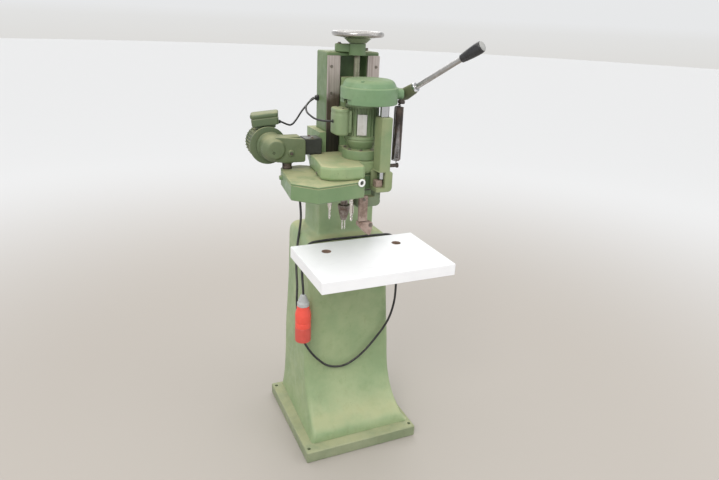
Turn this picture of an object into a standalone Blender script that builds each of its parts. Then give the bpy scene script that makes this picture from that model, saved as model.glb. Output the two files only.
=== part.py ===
"""Dowel joiner: a floor-standing pillar machine with a wooden table.

A flared cast pedestal on a base plate carries a slide column. The head climbs
the column on two way strips, lifted by a lead screw under a handwheel. The head
holds a vertical spindle motor, a drive housing with three tool spindles, a
worm-gear motor at its left end, and a hand-operated feed slide with a press arm.

Frame: origin at the centre of the base plate's underside, +X to the machine's
right, -Y to the operator, +Z up. Metres.
"""
import bpy
import bmesh
import math
from mathutils import Matrix, Vector

# ---------------------------------------------------------------- dimensions
GAP = 0.0003                      # clearance between touching pieces

BASE_W, BASE_D, BASE_H = 0.475, 0.502, 0.047
TABLE_X, TABLE_Y0, TABLE_Y1 = 0.2493, -0.4042, -0.0708
TABLE_TOP, TABLE_T = 0.847, 0.0425
TABLE_HOLE_R, TABLE_HOLE_X, TABLE_HOLE_Y = 0.0175, 0.1407, -0.1557

COL_X, COL_F, COL_B, COL_TOP = 0.099, -0.012, 0.090, 1.525
WAY_IN, WAY_OUT, WAY_F = 0.052, 0.0985, -0.0203

SCREW_Y, SCREW_R = -0.042, 0.011  # lead screw
WHEEL_Z, WHEEL_R, WHEEL_TUBE = 1.586, 0.081, 0.009

RING_Y, RING_R = -0.155, 0.097    # bell casting
MOTOR_X, MOTOR_Y, MOTOR_R = -0.006, -0.117, 0.0595  # spindle motor axis and radius

HEAD_Z0, HEAD_Z1 = 1.1303, 1.178  # head casting plate
HOUSE_Z0, HOUSE_Z1 = 1.072, 1.124 # drive housing

ROD_X, ROD_Y, ROD_R = 0.034, -0.212, 0.015
POST_X0, POST_X1, POST_Y0, POST_Y1 = 0.014, 0.054, -0.240, -0.184
FOOT_X0, FOOT_X1 = 0.0045, 0.0655
POST_TOP, FOOT_TOP, FOOT_BOT = 1.332, 1.1485, 1.077

LEVER_Y, LEVER_Z = -0.160, 1.398
LEVER_DIR = Vector((0.411, -0.734, 0.541)).normalized()

CENTRE = (-0.078, -0.155)         # tool spindle axes
RIGHT = (-0.068, -0.200)
LEFT = (-0.132, -0.155)
OUTPUT = (-0.250, -0.035)         # gear motor's output axis
GM_X, GM_Z, GM_R = -0.305, 1.205, 0.062

SPRING_X, SPRING_Y, SPRING_R = 0.096, -0.195, 0.0166
CORD_D = 0.009
LEAD_D = 0.0066

# ---------------------------------------------------------------- scene setup
for _o in list(bpy.data.objects):
    bpy.data.objects.remove(_o, do_unlink=True)

PARTS = bpy.data.collections.new("dowel_joiner")
CUTS = bpy.data.collections.new("cutters")
bpy.context.scene.collection.children.link(PARTS)
bpy.context.scene.collection.children.link(CUTS)


def material(name, rgb, rough, metal):
    m = bpy.data.materials.new(name)
    m.use_nodes = True
    b = m.node_tree.nodes.get("Principled BSDF")
    b.inputs["Base Color"].default_value = (rgb[0], rgb[1], rgb[2], 1.0)
    b.inputs["Roughness"].default_value = rough
    b.inputs["Metallic"].default_value = metal
    m.diffuse_color = (rgb[0], rgb[1], rgb[2], 1.0)
    return m


def paint(n):
    return material(n, (0.24, 0.36, 0.22), 0.5, 0.0)


def steel(n):
    return material(n, (0.42, 0.38, 0.35), 0.45, 0.9)


def rusty(n):
    return material(n, (0.30, 0.22, 0.18), 0.7, 0.6)


def chrome(n):
    return material(n, (0.75, 0.75, 0.76), 0.15, 1.0)


def black(n):
    return material(n, (0.02, 0.02, 0.02), 0.5, 0.0)


# ---------------------------------------------------------------- helpers
def link(obj, mat=None, cutter=False):
    (CUTS if cutter else PARTS).objects.link(obj)
    if cutter:
        obj.hide_render = True
        obj.display_type = 'WIRE'
    elif mat is not None:
        obj.data.materials.clear()
        obj.data.materials.append(mat)
    return obj


def smooth(obj, angle=35):
    obj.data.shade_smooth()
    obj.data.set_sharp_from_angle(angle=math.radians(angle))


def bevel(obj, width, segments=2, angle=50):
    m = obj.modifiers.new("edges", 'BEVEL')
    m.width = width
    m.segments = segments
    m.limit_method = 'ANGLE'
    m.angle_limit = math.radians(angle)
    m.use_clamp_overlap = True
    return m


def from_bm(name, bm, mat=None, cutter=False, loc=(0, 0, 0)):
    me = bpy.data.meshes.new(name)
    bm.to_mesh(me)
    bm.free()
    o = bpy.data.objects.new(name, me)
    o.location = loc
    return link(o, mat, cutter)


def box(name, lo, hi, mat=None, r=0.0, cutter=False, rot_z=0.0, seg=2):
    lo, hi = Vector(lo), Vector(hi)
    c, d = (lo + hi) / 2, hi - lo
    bm = bmesh.new()
    bmesh.ops.create_cube(bm, size=1.0, matrix=Matrix.Diagonal((d.x, d.y, d.z, 1.0)))
    o = from_bm(name, bm, mat, cutter, c)
    o.rotation_euler = (0, 0, rot_z)
    if r:
        bevel(o, r, seg)
    return o


def cyl(name, p0, p1, r0, mat=None, r1=None, seg=32, cutter=False, r=0.0):
    p0, p1 = Vector(p0), Vector(p1)
    d = p1 - p0
    bm = bmesh.new()
    bmesh.ops.create_cone(bm, cap_ends=True, segments=seg, radius1=r0,
                          radius2=r0 if r1 is None else r1, depth=d.length)
    o = from_bm(name, bm, mat, cutter, (p0 + p1) / 2)
    o.rotation_mode = 'QUATERNION'
    o.rotation_quaternion = Vector((0, 0, 1)).rotation_difference(d.normalized())
    if r:
        bevel(o, r, 2)
    if not cutter:
        smooth(o)
    return o


def turned(name, profile, loc, mat=None, seg=40, cutter=False, direction=None, closed=False):
    """Profile of (radius, height) running down the outer side, top to bottom."""
    bm = bmesh.new()
    vs = [bm.verts.new((r, 0, z)) for r, z in profile]
    for a, b in zip(vs, vs[1:]):
        bm.edges.new((a, b))
    if closed:
        bm.edges.new((vs[-1], vs[0]))
    o = from_bm(name, bm, mat, cutter, loc)
    m = o.modifiers.new("turn", 'SCREW')
    m.axis = 'Z'
    m.angle = 2 * math.pi
    m.steps = seg
    m.render_steps = seg
    m.use_merge_vertices = True
    m.merge_threshold = 0.00001
    m.use_smooth_shade = False
    if direction is not None:
        o.rotation_mode = 'QUATERNION'
        o.rotation_quaternion = Vector((0, 0, 1)).rotation_difference(Vector(direction).normalized())
    return o


def plate(name, pts, z0, z1, mat=None, r=0.0, cutter=False, axis='Z', seg=2, angle=50):
    """A flat outline filled and extruded, as a mesh. axis Y: pts are (x, z), z0..z1 is the y range."""
    cu = bpy.data.curves.new(name + "_outline", 'CURVE')
    cu.dimensions = '2D'
    cu.fill_mode = 'BOTH'
    cu.extrude = abs(z1 - z0) / 2
    sp = cu.splines.new('POLY')
    sp.points.add(len(pts) - 1)
    for p, (x, y) in zip(sp.points, pts):
        p.co = (x, y, 0, 1)
    sp.use_cyclic_u = True
    co = bpy.data.objects.new(name + "_outline", cu)
    bpy.context.scene.collection.objects.link(co)
    mid = (z0 + z1) / 2
    if axis == 'Z':
        co.location = (0, 0, mid)
    elif axis == 'Y':
        co.rotation_euler = (math.pi / 2, 0, 0)
        co.location = (0, mid, 0)
    else:
        co.rotation_euler = (math.pi / 2, 0, math.pi / 2)
        co.location = (mid, 0, 0)
    bpy.context.view_layer.update()
    me = bpy.data.meshes.new_from_object(co.evaluated_get(bpy.context.evaluated_depsgraph_get()))
    mw = co.matrix_world.copy()
    bpy.data.objects.remove(co, do_unlink=True)
    bm = bmesh.new()
    bm.from_mesh(me)
    bmesh.ops.remove_doubles(bm, verts=bm.verts, dist=0.000005)
    bmesh.ops.dissolve_limit(bm, angle_limit=0.002, verts=bm.verts, edges=bm.edges)
    bmesh.ops.transform(bm, matrix=mw, verts=bm.verts)
    bmesh.ops.recalc_face_normals(bm, faces=bm.faces)
    bm.to_mesh(me)
    bm.free()
    me.name = name
    o = bpy.data.objects.new(name, me)
    link(o, mat, cutter)
    if r:
        bevel(o, r, seg, angle)
    return o


def boolean(obj, other, op='DIFFERENCE'):
    m = obj.modifiers.new(op.lower(), 'BOOLEAN')
    m.operation = op
    m.solver = 'EXACT'
    m.object = other
    return obj


def cut(obj, *others):
    for c in others:
        boolean(obj, c, 'DIFFERENCE')
    return obj


def join(obj, *others):
    for c in others:
        boolean(obj, c, 'UNION')
    return obj


def arc(cx, cy, r, a0, a1, n):
    return [(cx + r * math.cos(math.radians(a0 + (a1 - a0) * i / n)),
             cy + r * math.sin(math.radians(a0 + (a1 - a0) * i / n))) for i in range(n + 1)]


def round_rect(x0, y0, x1, y1, r, n=4):
    return (arc(x1 - r, y0 + r, r, -90, 0, n) + arc(x1 - r, y1 - r, r, 0, 90, n)
            + arc(x0 + r, y1 - r, r, 90, 180, n) + arc(x0 + r, y0 + r, r, 180, 270, n))


def catmull(points, n):
    """n points on a smooth curve through the given points, closer together in the bends."""
    P = [Vector(p) for p in points]
    P = [P[0] * 2 - P[1]] + P + [P[-1] * 2 - P[-2]]
    dense = []
    for i in range(1, len(P) - 2):
        p0, p1, p2, p3 = P[i - 1], P[i], P[i + 1], P[i + 2]
        t0 = 0.0
        t1 = t0 + (p1 - p0).length ** 0.5
        t2 = t1 + (p2 - p1).length ** 0.5
        t3 = t2 + (p3 - p2).length ** 0.5
        for k in range(24):
            t = t1 + (t2 - t1) * k / 24
            a1 = p0 * ((t1 - t) / (t1 - t0)) + p1 * ((t - t0) / (t1 - t0))
            a2 = p1 * ((t2 - t) / (t2 - t1)) + p2 * ((t - t1) / (t2 - t1))
            a3 = p2 * ((t3 - t) / (t3 - t2)) + p3 * ((t - t2) / (t3 - t2))
            b1 = a1 * ((t2 - t) / (t2 - t0)) + a2 * ((t - t0) / (t2 - t0))
            b2 = a2 * ((t3 - t) / (t3 - t1)) + a3 * ((t - t1) / (t3 - t1))
            dense.append(b1 * ((t2 - t) / (t2 - t1)) + b2 * ((t - t1) / (t2 - t1)))
    dense.append(P[-2])
    s = [0.0]
    for i in range(1, len(dense)):
        step = dense[i] - dense[i - 1]
        before = dense[i - 1] - dense[i - 2] if i > 1 else step
        turn = before.angle(step, 0.0) if before.length > 1e-9 else 0.0
        s.append(s[-1] + step.length + 0.05 * turn)
    out, j = [], 0
    for k in range(n):
        want = s[-1] * k / (n - 1)
        while j < len(s) - 2 and s[j + 1] < want:
            j += 1
        f = (want - s[j]) / max(s[j + 1] - s[j], 1e-9)
        out.append(dense[j].lerp(dense[j + 1], min(max(f, 0), 1)))
    return out


def tube(name, points, d, mat, res=2):
    """A cord or lead: a poly spline with a round bevel and filled caps."""
    cu = bpy.data.curves.new(name, 'CURVE')
    cu.dimensions = '3D'
    cu.bevel_depth = d / 2
    cu.bevel_resolution = res
    cu.use_fill_caps = True
    sp = cu.splines.new('POLY')
    sp.points.add(len(points) - 1)
    for p, c in zip(sp.points, points):
        p.co = (c[0], c[1], c[2], 1)
    o = bpy.data.objects.new(name, cu)
    return link(o, mat)


def pivot(name, loc, *pieces):
    """An empty on the joint's axis that the moving pieces hang from."""
    e = bpy.data.objects.new(name, None)
    e.location = loc
    e.empty_display_size = 0.03
    PARTS.objects.link(e)
    for p in pieces:
        p.parent = e
        p.matrix_parent_inverse = Matrix.Translation(-Vector(loc))
    return e


# ================================================================ stand
BOLT_X, BOLT_Y = 0.2218, 0.2259
base_plate = box("base_plate", (-BASE_W / 2, -BASE_D / 2, 0), (BASE_W / 2, BASE_D / 2, BASE_H),
                 paint("base_paint"), r=0.003, seg=1)
cut(base_plate, *[cyl("cut_base_%d" % i, (sx * BOLT_X, sy * BOLT_Y, -0.01), (sx * BOLT_X, sy * BOLT_Y, 0.06), 0.0070,
                      seg=16, cutter=True) for i, (sx, sy) in enumerate(((1, 1), (-1, 1), (-1, -1), (1, -1)))])


# The pedestal is a loft of rounded rectangles, flared at its foot, drawn in at a
# shoulder to the neck, and hollow up from its open underside.
def section(z, y_front, y_back, x_left, x_right, x_rear, r, inset=0.0):
    """One closed ring of points with four rounded corners; the rear may be narrower."""
    yf, yb = y_front + inset, y_back - inset
    corners = [(-x_left + inset, yf, 180, 270), (x_right - inset, yf, 270, 360),
               (x_rear - inset, yb, 0, 90), (-x_rear + inset, yb, 90, 180)]
    r = max(r - inset * 0.5, 0.004)
    out = []
    for (cx, cy, a0, a1), (sx, sy) in zip(corners, ((1, 1), (-1, 1), (-1, -1), (1, -1))):
        out += [(x, y, z) for x, y in arc(cx + sx * r, cy + sy * r, r, a0, a1, 5)]
    return out


PED = [  # z, y front, y back, half-width left, right and rear, corner radius
    (BASE_H + GAP, -0.2050, 0.248, 0.2017, 0.2280, 0.1900, 0.014),
    (0.060, -0.2045, 0.248, 0.1985, 0.2130, 0.1880, 0.016),
    (0.080, -0.1990, 0.247, 0.1950, 0.2020, 0.1860, 0.018),
    (0.105, -0.1760, 0.246, 0.1920, 0.1960, 0.1840, 0.020),
    (0.135, -0.1430, 0.245, 0.1890, 0.1915, 0.1820, 0.022),
    (0.170, -0.1160, 0.244, 0.1870, 0.1885, 0.1800, 0.022),
    (0.200, -0.1000, 0.243, 0.1868, 0.1875, 0.1790, 0.022),
    (0.250, -0.0800, 0.242, 0.1865, 0.1865, 0.1780, 0.022),
    (0.300, -0.0700, 0.241, 0.1862, 0.1862, 0.1775, 0.022),
    (0.350, -0.0650, 0.240, 0.1855, 0.1855, 0.1770, 0.022),
    (0.500, -0.0600, 0.239, 0.1760, 0.1760, 0.1700, 0.022),
    (0.640, -0.0570, 0.238, 0.1680, 0.1680, 0.1640, 0.022),
    (0.800, -0.0550, 0.236, 0.1660, 0.1660, 0.1620, 0.024),
    (0.820, -0.0530, 0.234, 0.1635, 0.1635, 0.1600, 0.026),
    (0.835, -0.0470, 0.228, 0.1560, 0.1560, 0.1530, 0.028),
    (0.8430, -0.0370, 0.218, 0.1450, 0.1450, 0.1420, 0.028),
    (0.8455, -0.0200, 0.200, 0.1290, 0.1290, 0.1270, 0.022),
    (0.8520, -0.0060, 0.182, 0.1170, 0.1170, 0.1160, 0.014),
    (0.8660, 0.0000, 0.172, 0.1125, 0.1125, 0.1120, 0.008),
    (1.0000, 0.0000, 0.170, 0.1120, 0.1120, 0.1110, 0.008),
]


def make_pedestal():
    bm = bmesh.new()
    wall = 0.014
    outer = [[bm.verts.new(p) for p in section(*s)] for s in PED]
    inner = [[bm.verts.new(p) for p in section(*s, inset=wall)] for s in PED[:13]]
    n = len(outer[0])

    def skin(a, b, flip):
        for i in range(n):
            j = (i + 1) % n
            f = [a[i], a[j], b[j], b[i]]
            bm.faces.new(f[::-1] if flip else f)
    for a, b in zip(outer, outer[1:]):
        skin(a, b, False)
    for a, b in zip(inner, inner[1:]):
        skin(a, b, True)
    skin(outer[0], inner[0], True)
    bm.faces.new(outer[-1])
    bm.faces.new(inner[-1][::-1])
    bmesh.ops.recalc_face_normals(bm, faces=bm.faces)
    return from_bm("pedestal", bm, paint("pedestal_paint"))


pedestal = make_pedestal()

column = box("slide_column", (-COL_X, COL_F, 1.0003), (COL_X, COL_B, COL_TOP), paint("column_paint"), r=0.004, seg=1)
cut(column, box("cut_recess", (-0.050, -0.05, 1.060), (0.050, 0.050, 1.512), cutter=True))
way_screw_at = [(-0.085, 1.477), (-0.085, 1.386), (0.085, 1.475), (0.085, 1.386)]
for side, nm in ((-1, "left"), (1, "right")):
    xs = sorted((side * WAY_IN, side * WAY_OUT))
    box("way_strip_" + nm, (xs[0], WAY_F, 1.020), (xs[1], COL_F - GAP, 1.513), steel("way_steel_" + nm), r=0.001, seg=1)
for k, (x, z) in enumerate(way_screw_at):
    cyl("way_screw_%d" % (k + 1), (x, WAY_F - 0.0022, z), (x, WAY_F - GAP, z), 0.0050, rusty("screw_%d" % k), seg=14)

top_bracket = plate("top_bracket", [(-0.066, -0.012), (-0.027, -0.034), (0.027, -0.034), (0.031, -0.012), (0.031, 0.004), (-0.066, 0.004)],
                    COL_TOP + GAP, 1.552, paint("top_bracket_paint"), r=0.002, seg=1)
join(top_bracket, cyl("add_hub", (0, SCREW_Y, 1.517), (0, SCREW_Y, 1.5545), 0.029, seg=32, cutter=True))
cut(top_bracket, cyl("cut_hub", (0, SCREW_Y, 1.40), (0, SCREW_Y, 1.60), SCREW_R + 0.0006, seg=24, cutter=True))

# wooden table on its bracket
table = box("table_board", (-TABLE_X, TABLE_Y0, TABLE_TOP - TABLE_T), (TABLE_X, TABLE_Y1, TABLE_TOP),
            material("white_board", (0.72, 0.72, 0.74), 0.4, 0.0), r=0.0015, seg=1)
cut(table, *[cyl("cut_table_%d" % i, (s * TABLE_HOLE_X, TABLE_HOLE_Y, 0.7), (s * TABLE_HOLE_X, TABLE_HOLE_Y, 0.9),
                 TABLE_HOLE_R, seg=32, cutter=True) for i, s in enumerate((-1, 1))])
tb_top = TABLE_TOP - TABLE_T - GAP
table_bracket = plate("table_bracket", [(-0.0580, 0.700), (-0.0580, tb_top), (-0.375, tb_top), (-0.375, 0.790),
                                        (-0.110, 0.752), (-0.0715, 0.700)], -0.110, 0.110,
                      paint("table_bracket_paint"), axis='X')
cut(table_bracket, box("cut_tb", (-0.098, -0.360, 0.60), (0.098, -0.0715, 0.7960), cutter=True))

# ================================================================ lifting screw
lead_screw = turned("lead_screw", [(0, 1.5750), (0.0085, 1.5750), (0.0085, 1.5560), (SCREW_R, 1.5552), (SCREW_R, 1.337),
                                   (0.009, 1.335), (0, 1.335)], (0, SCREW_Y, 0), steel("screw_steel"), seg=24)
wheel_rim = turned("handwheel_rim",
                   [(WHEEL_R + WHEEL_TUBE * math.cos(a), WHEEL_TUBE * math.sin(a))
                    for a in [math.pi / 2 - 2 * math.pi * k / 10 for k in range(10)]],
                   (0, SCREW_Y, WHEEL_Z), chrome("rim_chrome"), seg=40, closed=True)
wheel_hub = turned("handwheel_hub", [(0.0089, 1.5790), (0.020, 1.5790), (0.0225, 1.5730), (0.028, 1.5690), (0.0470, 1.5790), (0.0700, 1.5845), (0.0760, 1.5845),
                                     (0.0770, 1.5810), (0.0760, 1.5775), (0.0480, 1.5715), (0.0290, 1.5560), (0.0118, 1.5560), (0.0089, 1.5562)],
                   (0, SCREW_Y, 0), paint("wheel_paint"), seg=32, closed=True)
cut(wheel_hub, turned("cut_rim", [(WHEEL_R + (WHEEL_TUBE + GAP) * math.cos(a), (WHEEL_TUBE + GAP) * math.sin(a))
                                  for a in [math.pi / 2 - 2 * math.pi * k / 10 for k in range(10)]],
                      (0, SCREW_Y, WHEEL_Z), seg=32, closed=True, cutter=True))

# ================================================================ head
HEAD = [(-0.125, 0.115), (-0.150, 0.020), (-0.170, -0.047), (-0.172, -0.100), (-0.190, -0.212), (-0.165, -0.240),
        (-0.1156, -0.2508), (-0.052, -0.2500), (-0.041, -0.2400), (-0.036, -0.180), (0.045, -0.180), (0.095, -0.150),
        (0.125, -0.100), (0.125, 0.115)]
head = plate("head_casting", HEAD, HEAD_Z0, HEAD_Z1, paint("head_paint"), r=0.009, seg=2, angle=60)
join(head,
     box("add_cheek_l", (-0.1248, -0.0202, 1.165), (-0.090, 0.1148, 1.250), cutter=True),
     box("add_cheek_r", (0.090, -0.0202, 1.165), (0.1248, 0.1148, 1.250), cutter=True),
     box("add_cheek_b", (-0.1000, 0.086, 1.165), (0.1000, 0.1148, 1.250), cutter=True))
cut(head,
    box("cut_column", (-COL_X - 0.0006, WAY_F - 0.0006, 1.0), (COL_X + 0.0006, COL_B + 0.0006, 1.40), cutter=True),
    plate("cut_head_inside", [(-0.156, -0.050), (-0.160, -0.100), (-0.176, -0.205), (-0.158, -0.228), (-0.1156, -0.2380),
                              (-0.060, -0.2370), (-0.053, -0.2310), (-0.048, -0.166), (0.040, -0.166), (0.086, -0.140), (0.112, -0.095),
                              (0.112, -0.055), (0.050, -0.055), (0.050, -0.062), (-0.060, -0.062), (-0.060, -0.050)],
          1.12, 1.166, cutter=True),
    cyl("cut_head_shaft", (MOTOR_X, MOTOR_Y, 1.10), (MOTOR_X, MOTOR_Y, 1.20), 0.020, seg=28, cutter=True))
join(head, box("add_spine", (-0.046, -0.0195, 1.1320), (0.046, 0.012, 1.440), cutter=True),
     box("add_spine_foot", (-0.0490, -0.050, 1.1420), (0.0490, 0.0020, 1.200), cutter=True))

# bell casting: a cup with a low domed top, its web to the spine, an ear for the lever
bell = turned("bell_casting",
              [(0, 1.4510), (0.070, 1.4492), (0.0790, 1.4460), (0.0850, 1.4400), (0.0905, 1.4285), (0.0910, 1.4260), (0.0950, 1.4250),
               (RING_R, 1.4235), (RING_R, 1.3715), (0.0960, 1.3700), (0.085, 1.3700), (0.085, 1.4150), (0.059, 1.4380), (0, 1.4380)],
              (0, RING_Y, 0), paint("bell_paint"), seg=40)
join(bell,
     cyl("add_rod_boss", (ROD_X, ROD_Y, 1.3700), (ROD_X, ROD_Y, 1.4310), 0.0190, seg=28, cutter=True),
     plate("add_web", [(-0.040, -0.0198), (-0.052, -0.080), (0.052, -0.080), (0.040, -0.0198)], 1.372, 1.424, cutter=True),
     plate("add_ear", round_rect(-0.195, 1.3845, -0.130, 1.4190, 0.012), 0.080, 0.1130, cutter=True, axis='X'))
cut(bell,
    box("cut_low_left", (-0.12, -0.30, 1.33), (-0.084, -0.04, 1.388), cutter=True),
    cyl("cut_rod_bore", (ROD_X, ROD_Y, 1.30), (ROD_X, ROD_Y, 1.4255), ROD_R + GAP, seg=32, cutter=True),
    cyl("cut_shaft_bore", (0.06, LEVER_Y, LEVER_Z), (0.14, LEVER_Y, LEVER_Z), 0.0105, seg=24, cutter=True),
    box("cut_rack_pocket", (0.033, -0.1938, 1.36), (0.053, -0.182, 1.4446), cutter=True),
    cyl("cut_nut_bore", (0, SCREW_Y, 1.36), (0, SCREW_Y, 1.44), 0.0180, seg=28, cutter=True))
lead_nut = turned("lead_nut", [(SCREW_R + 0.0006, 1.428), (0.0177, 1.428), (0.0177, 1.372), (SCREW_R + 0.0006, 1.372)],
                  (0, SCREW_Y, 0), material("nut_bronze", (0.45, 0.30, 0.12), 0.4, 1.0), seg=28, closed=True)
guide_rod = cyl("guide_rod", (ROD_X, ROD_Y, 1.120), (ROD_X, ROD_Y, 1.4252), ROD_R, chrome("rod_chrome"), seg=32, r=0.001)
hanger = box("spring_hanger", (0.0935, -0.2065, 1.3715), (0.1125, -0.1835, 1.3838), rusty("hanger_rust"), r=0.003, seg=1)
stud_top = cyl("spring_stud_upper", (SPRING_X, SPRING_Y, 1.3662), (SPRING_X, SPRING_Y, 1.3712), 0.0045, rusty("stud_rust_a"), seg=20)


# spindle motor: ribbed body standing on a tapered end bell and a round flange
def ribbed(name, loc, r_out, r_root, n, z0, z1, mat, axis):
    pts = []
    w = 360.0 / n
    for k in range(n):
        for da, r in ((-0.28, r_root), (-0.20, r_out), (0.20, r_out), (0.28, r_root)):
            t = math.radians((k + da) * w)
            pts.append((loc[0] + r * math.cos(t), loc[1] + r * math.sin(t)))
    return plate(name, pts, z0, z1, mat, axis=axis)


spindle_motor = ribbed("spindle_motor", (MOTOR_X, MOTOR_Y), MOTOR_R, 0.0545, 26, 1.2453, 1.366, paint("motor_paint"), 'Z')
motor_flange = turned("motor_flange", [(0, 1.245), (0.0590, 1.245), (0.0595, 1.240), (0.040, 1.2135), (0.038, 1.2103), (0.0640, 1.2103),
                                       (0.066, 1.2085), (0.066, 1.1783), (0.0120, 1.1783), (0.0120, 1.234), (0, 1.234)],
                      (MOTOR_X, MOTOR_Y, 0), paint("flange_paint"), seg=40)
term_box = plate("spindle_terminal_box", round_rect(-0.118, -0.170, -0.068, -0.092, 0.020), 1.265, 1.353,
                 paint("box_paint"), r=0.006, seg=2)
join(term_box, box("add_tb_neck", (-0.0690, -0.1620, 1.2700), (-0.0340, -0.0970, 1.3480), cutter=True))
cut(term_box, cyl("cut_tb_motor", (MOTOR_X, MOTOR_Y, 1.24), (MOTOR_X, MOTOR_Y, 1.38), MOTOR_R + 0.0006, seg=48, cutter=True))

# drive housing: an open-topped trough under a lid
HOUSE = [(-0.190, 0.004), (-0.250, -0.008), (-0.268, -0.018), (-0.274, -0.040), (-0.296, -0.225), (-0.226, -0.296),
         (-0.052, -0.264), (-0.036, -0.232), (-0.034, -0.172), (0.060, -0.172), (0.090, -0.120), (0.090, -0.030),
         (-0.135, -0.030)]
HOUSE_IN = [(-0.186, -0.003), (-0.2485, -0.0125), (-0.2645, -0.0210), (-0.2700, -0.0410), (-0.2885, -0.2210), (-0.2215, -0.2875),
            (-0.0565, -0.2565), (-0.0400, -0.231), (-0.0395, -0.164), (0.056, -0.164), (0.082, -0.117), (0.082, -0.038),
            (-0.1375, -0.038)]
housing = plate("drive_housing", HOUSE, HOUSE_Z0, HOUSE_Z1, paint("housing_paint"), r=0.003, seg=1, angle=60)
cut(housing, plate("cut_house", HOUSE_IN, HOUSE_Z0 + 0.008, HOUSE_Z1 + 0.02, cutter=True),
    cyl("cut_hole_c", (*CENTRE, 1.05), (*CENTRE, 1.10), 0.0131, seg=24, cutter=True),
    cyl("cut_hole_r", (*RIGHT, 1.05), (*RIGHT, 1.10), 0.0097, seg=24, cutter=True),
    cyl("cut_hole_l", (*LEFT, 1.05), (*LEFT, 1.10), 0.0097, seg=24, cutter=True))
lid = plate("housing_lid", HOUSE, HOUSE_Z1 + GAP, HEAD_Z0 - GAP, paint("lid_paint"), r=0.0015, seg=1, angle=60)
cut(lid, cyl("cut_lid_m", (MOTOR_X, MOTOR_Y, 1.10), (MOTOR_X, MOTOR_Y, 1.15), 0.013, seg=24, cutter=True),
    cyl("cut_lid_o", (*OUTPUT, 1.10), (*OUTPUT, 1.15), 0.0088, seg=24, cutter=True))
glass_n = Vector((0.182, -0.983, 0.0)).normalized()
glass_c = Vector((-0.0650, -0.2664, 1.1260)) + glass_n * 0.0012
sight_glass = turned("sight_glass", [(0, 0.0022), (0.0070, 0.0022), (0.0075, 0.0045), (0.0125, 0.0045), (0.0135, 0.0035), (0.0135, 0.0), (0, 0.0)],
                     glass_c, material("white_ring", (0.80, 0.82, 0.80), 0.35, 0.0), seg=28, direction=glass_n)


# belts inside the housing
def belt_outline(c1, r1, c2, r2, n=14):
    a, b = Vector(c1), Vector(c2)
    d = b - a
    ang = math.atan2(d.y, d.x)
    off = math.acos((r1 - r2) / d.length)
    s, e = math.degrees(ang + off), math.degrees(ang - off)
    return arc(a.x, a.y, r1, s, e + 360, n) + arc(b.x, b.y, r2, e, s, n)


def belt(name, c1, r1, c2, r2, z0, z1, t, mat):
    o = plate(name, belt_outline(c1, r1 + t, c2, r2 + t), z0, z1, mat)
    return cut(o, plate("cut_" + name, belt_outline(c1, r1, c2, r2), z0 - 0.01, z1 + 0.01, cutter=True))


belt("spindle_belt", (MOTOR_X, MOTOR_Y), 0.0254, CENTRE, 0.0184, 1.1085, 1.1195, 0.0025, black("belt_rubber_a"))
belt("gear_belt", OUTPUT, 0.0145, LEFT, 0.0204, 1.0850, 1.0960, 0.0025, black("belt_rubber_b"))

# ================================================================ turning pieces
motor_pulley = turned("motor_pulley", [(0, 1.233), (0.0085, 1.233), (0.0085, 1.1215), (0.0250, 1.1215), (0.0250, 1.1070),
                                       (0.0085, 1.1070), (0.0085, 1.0990), (0, 1.0990)],
                      (MOTOR_X, MOTOR_Y, 0), steel("pulley_steel"), seg=32)
centre = turned("centre_spindle", [(0, 1.1215), (0.018, 1.1215), (0.018, 1.1065), (0.0100, 1.1065), (0.0100, 1.0970), (0.0195, 1.0970), (0.0195, 1.0845),
                                   (0.0125, 1.0845), (0.0125, 1.0190), (0.0205, 1.0190), (0.0215, 1.0175), (0.0215, 1.0045),
                                   (0.0195, 1.0030), (0.0180, 0.9900), (0.0110, 0.9640), (0.0095, 0.9620), (0, 0.9620)],
                (*CENTRE, 0), steel("spindle_steel"), seg=36)
join(centre, *[cyl("add_prong_%d" % i, (CENTRE[0] + s * 0.0048, CENTRE[1], 0.923), (CENTRE[0] + s * 0.0048, CENTRE[1], 0.970),
                   0.0027, seg=10, cutter=True) for i, s in enumerate((-1, 1))])
right_drill = turned("right_drill", [(0, 1.0970), (0.0255, 1.0970), (0.0255, 1.0845), (0.0090, 1.0845), (0.0090, 1.0340), (0.0078, 1.0310),
                                     (0.0078, 1.0000), (0.0052, 0.9930), (0.0052, 0.9730), (0, 0.9680)], (*RIGHT, 0), chrome("drill_chrome"), seg=28)
left_drill = turned("left_drill", [(0, 1.0975), (0.0200, 1.0975), (0.0200, 1.0845), (0.0090, 1.0845), (0.0095, 1.0345), (0.0062, 1.0120),
                                   (0.0042, 1.0040), (0.0042, 0.9720), (0, 0.9670)], (*LEFT, 0), chrome("left_drill_chrome"), seg=24)
output = turned("gearbox_output", [(0, 1.180), (0.0080, 1.180), (0.0080, 1.1520), (0.0165, 1.1520), (0.0170, 1.1515), (0.0170, 1.1320),
                                   (0.0165, 1.1310), (0.0080, 1.1310), (0.0080, 1.0975), (0.0141, 1.0975), (0.0141, 1.0845), (0, 1.0845)],
                (*OUTPUT, 0), rusty("coupling_rust"), seg=28)

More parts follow.
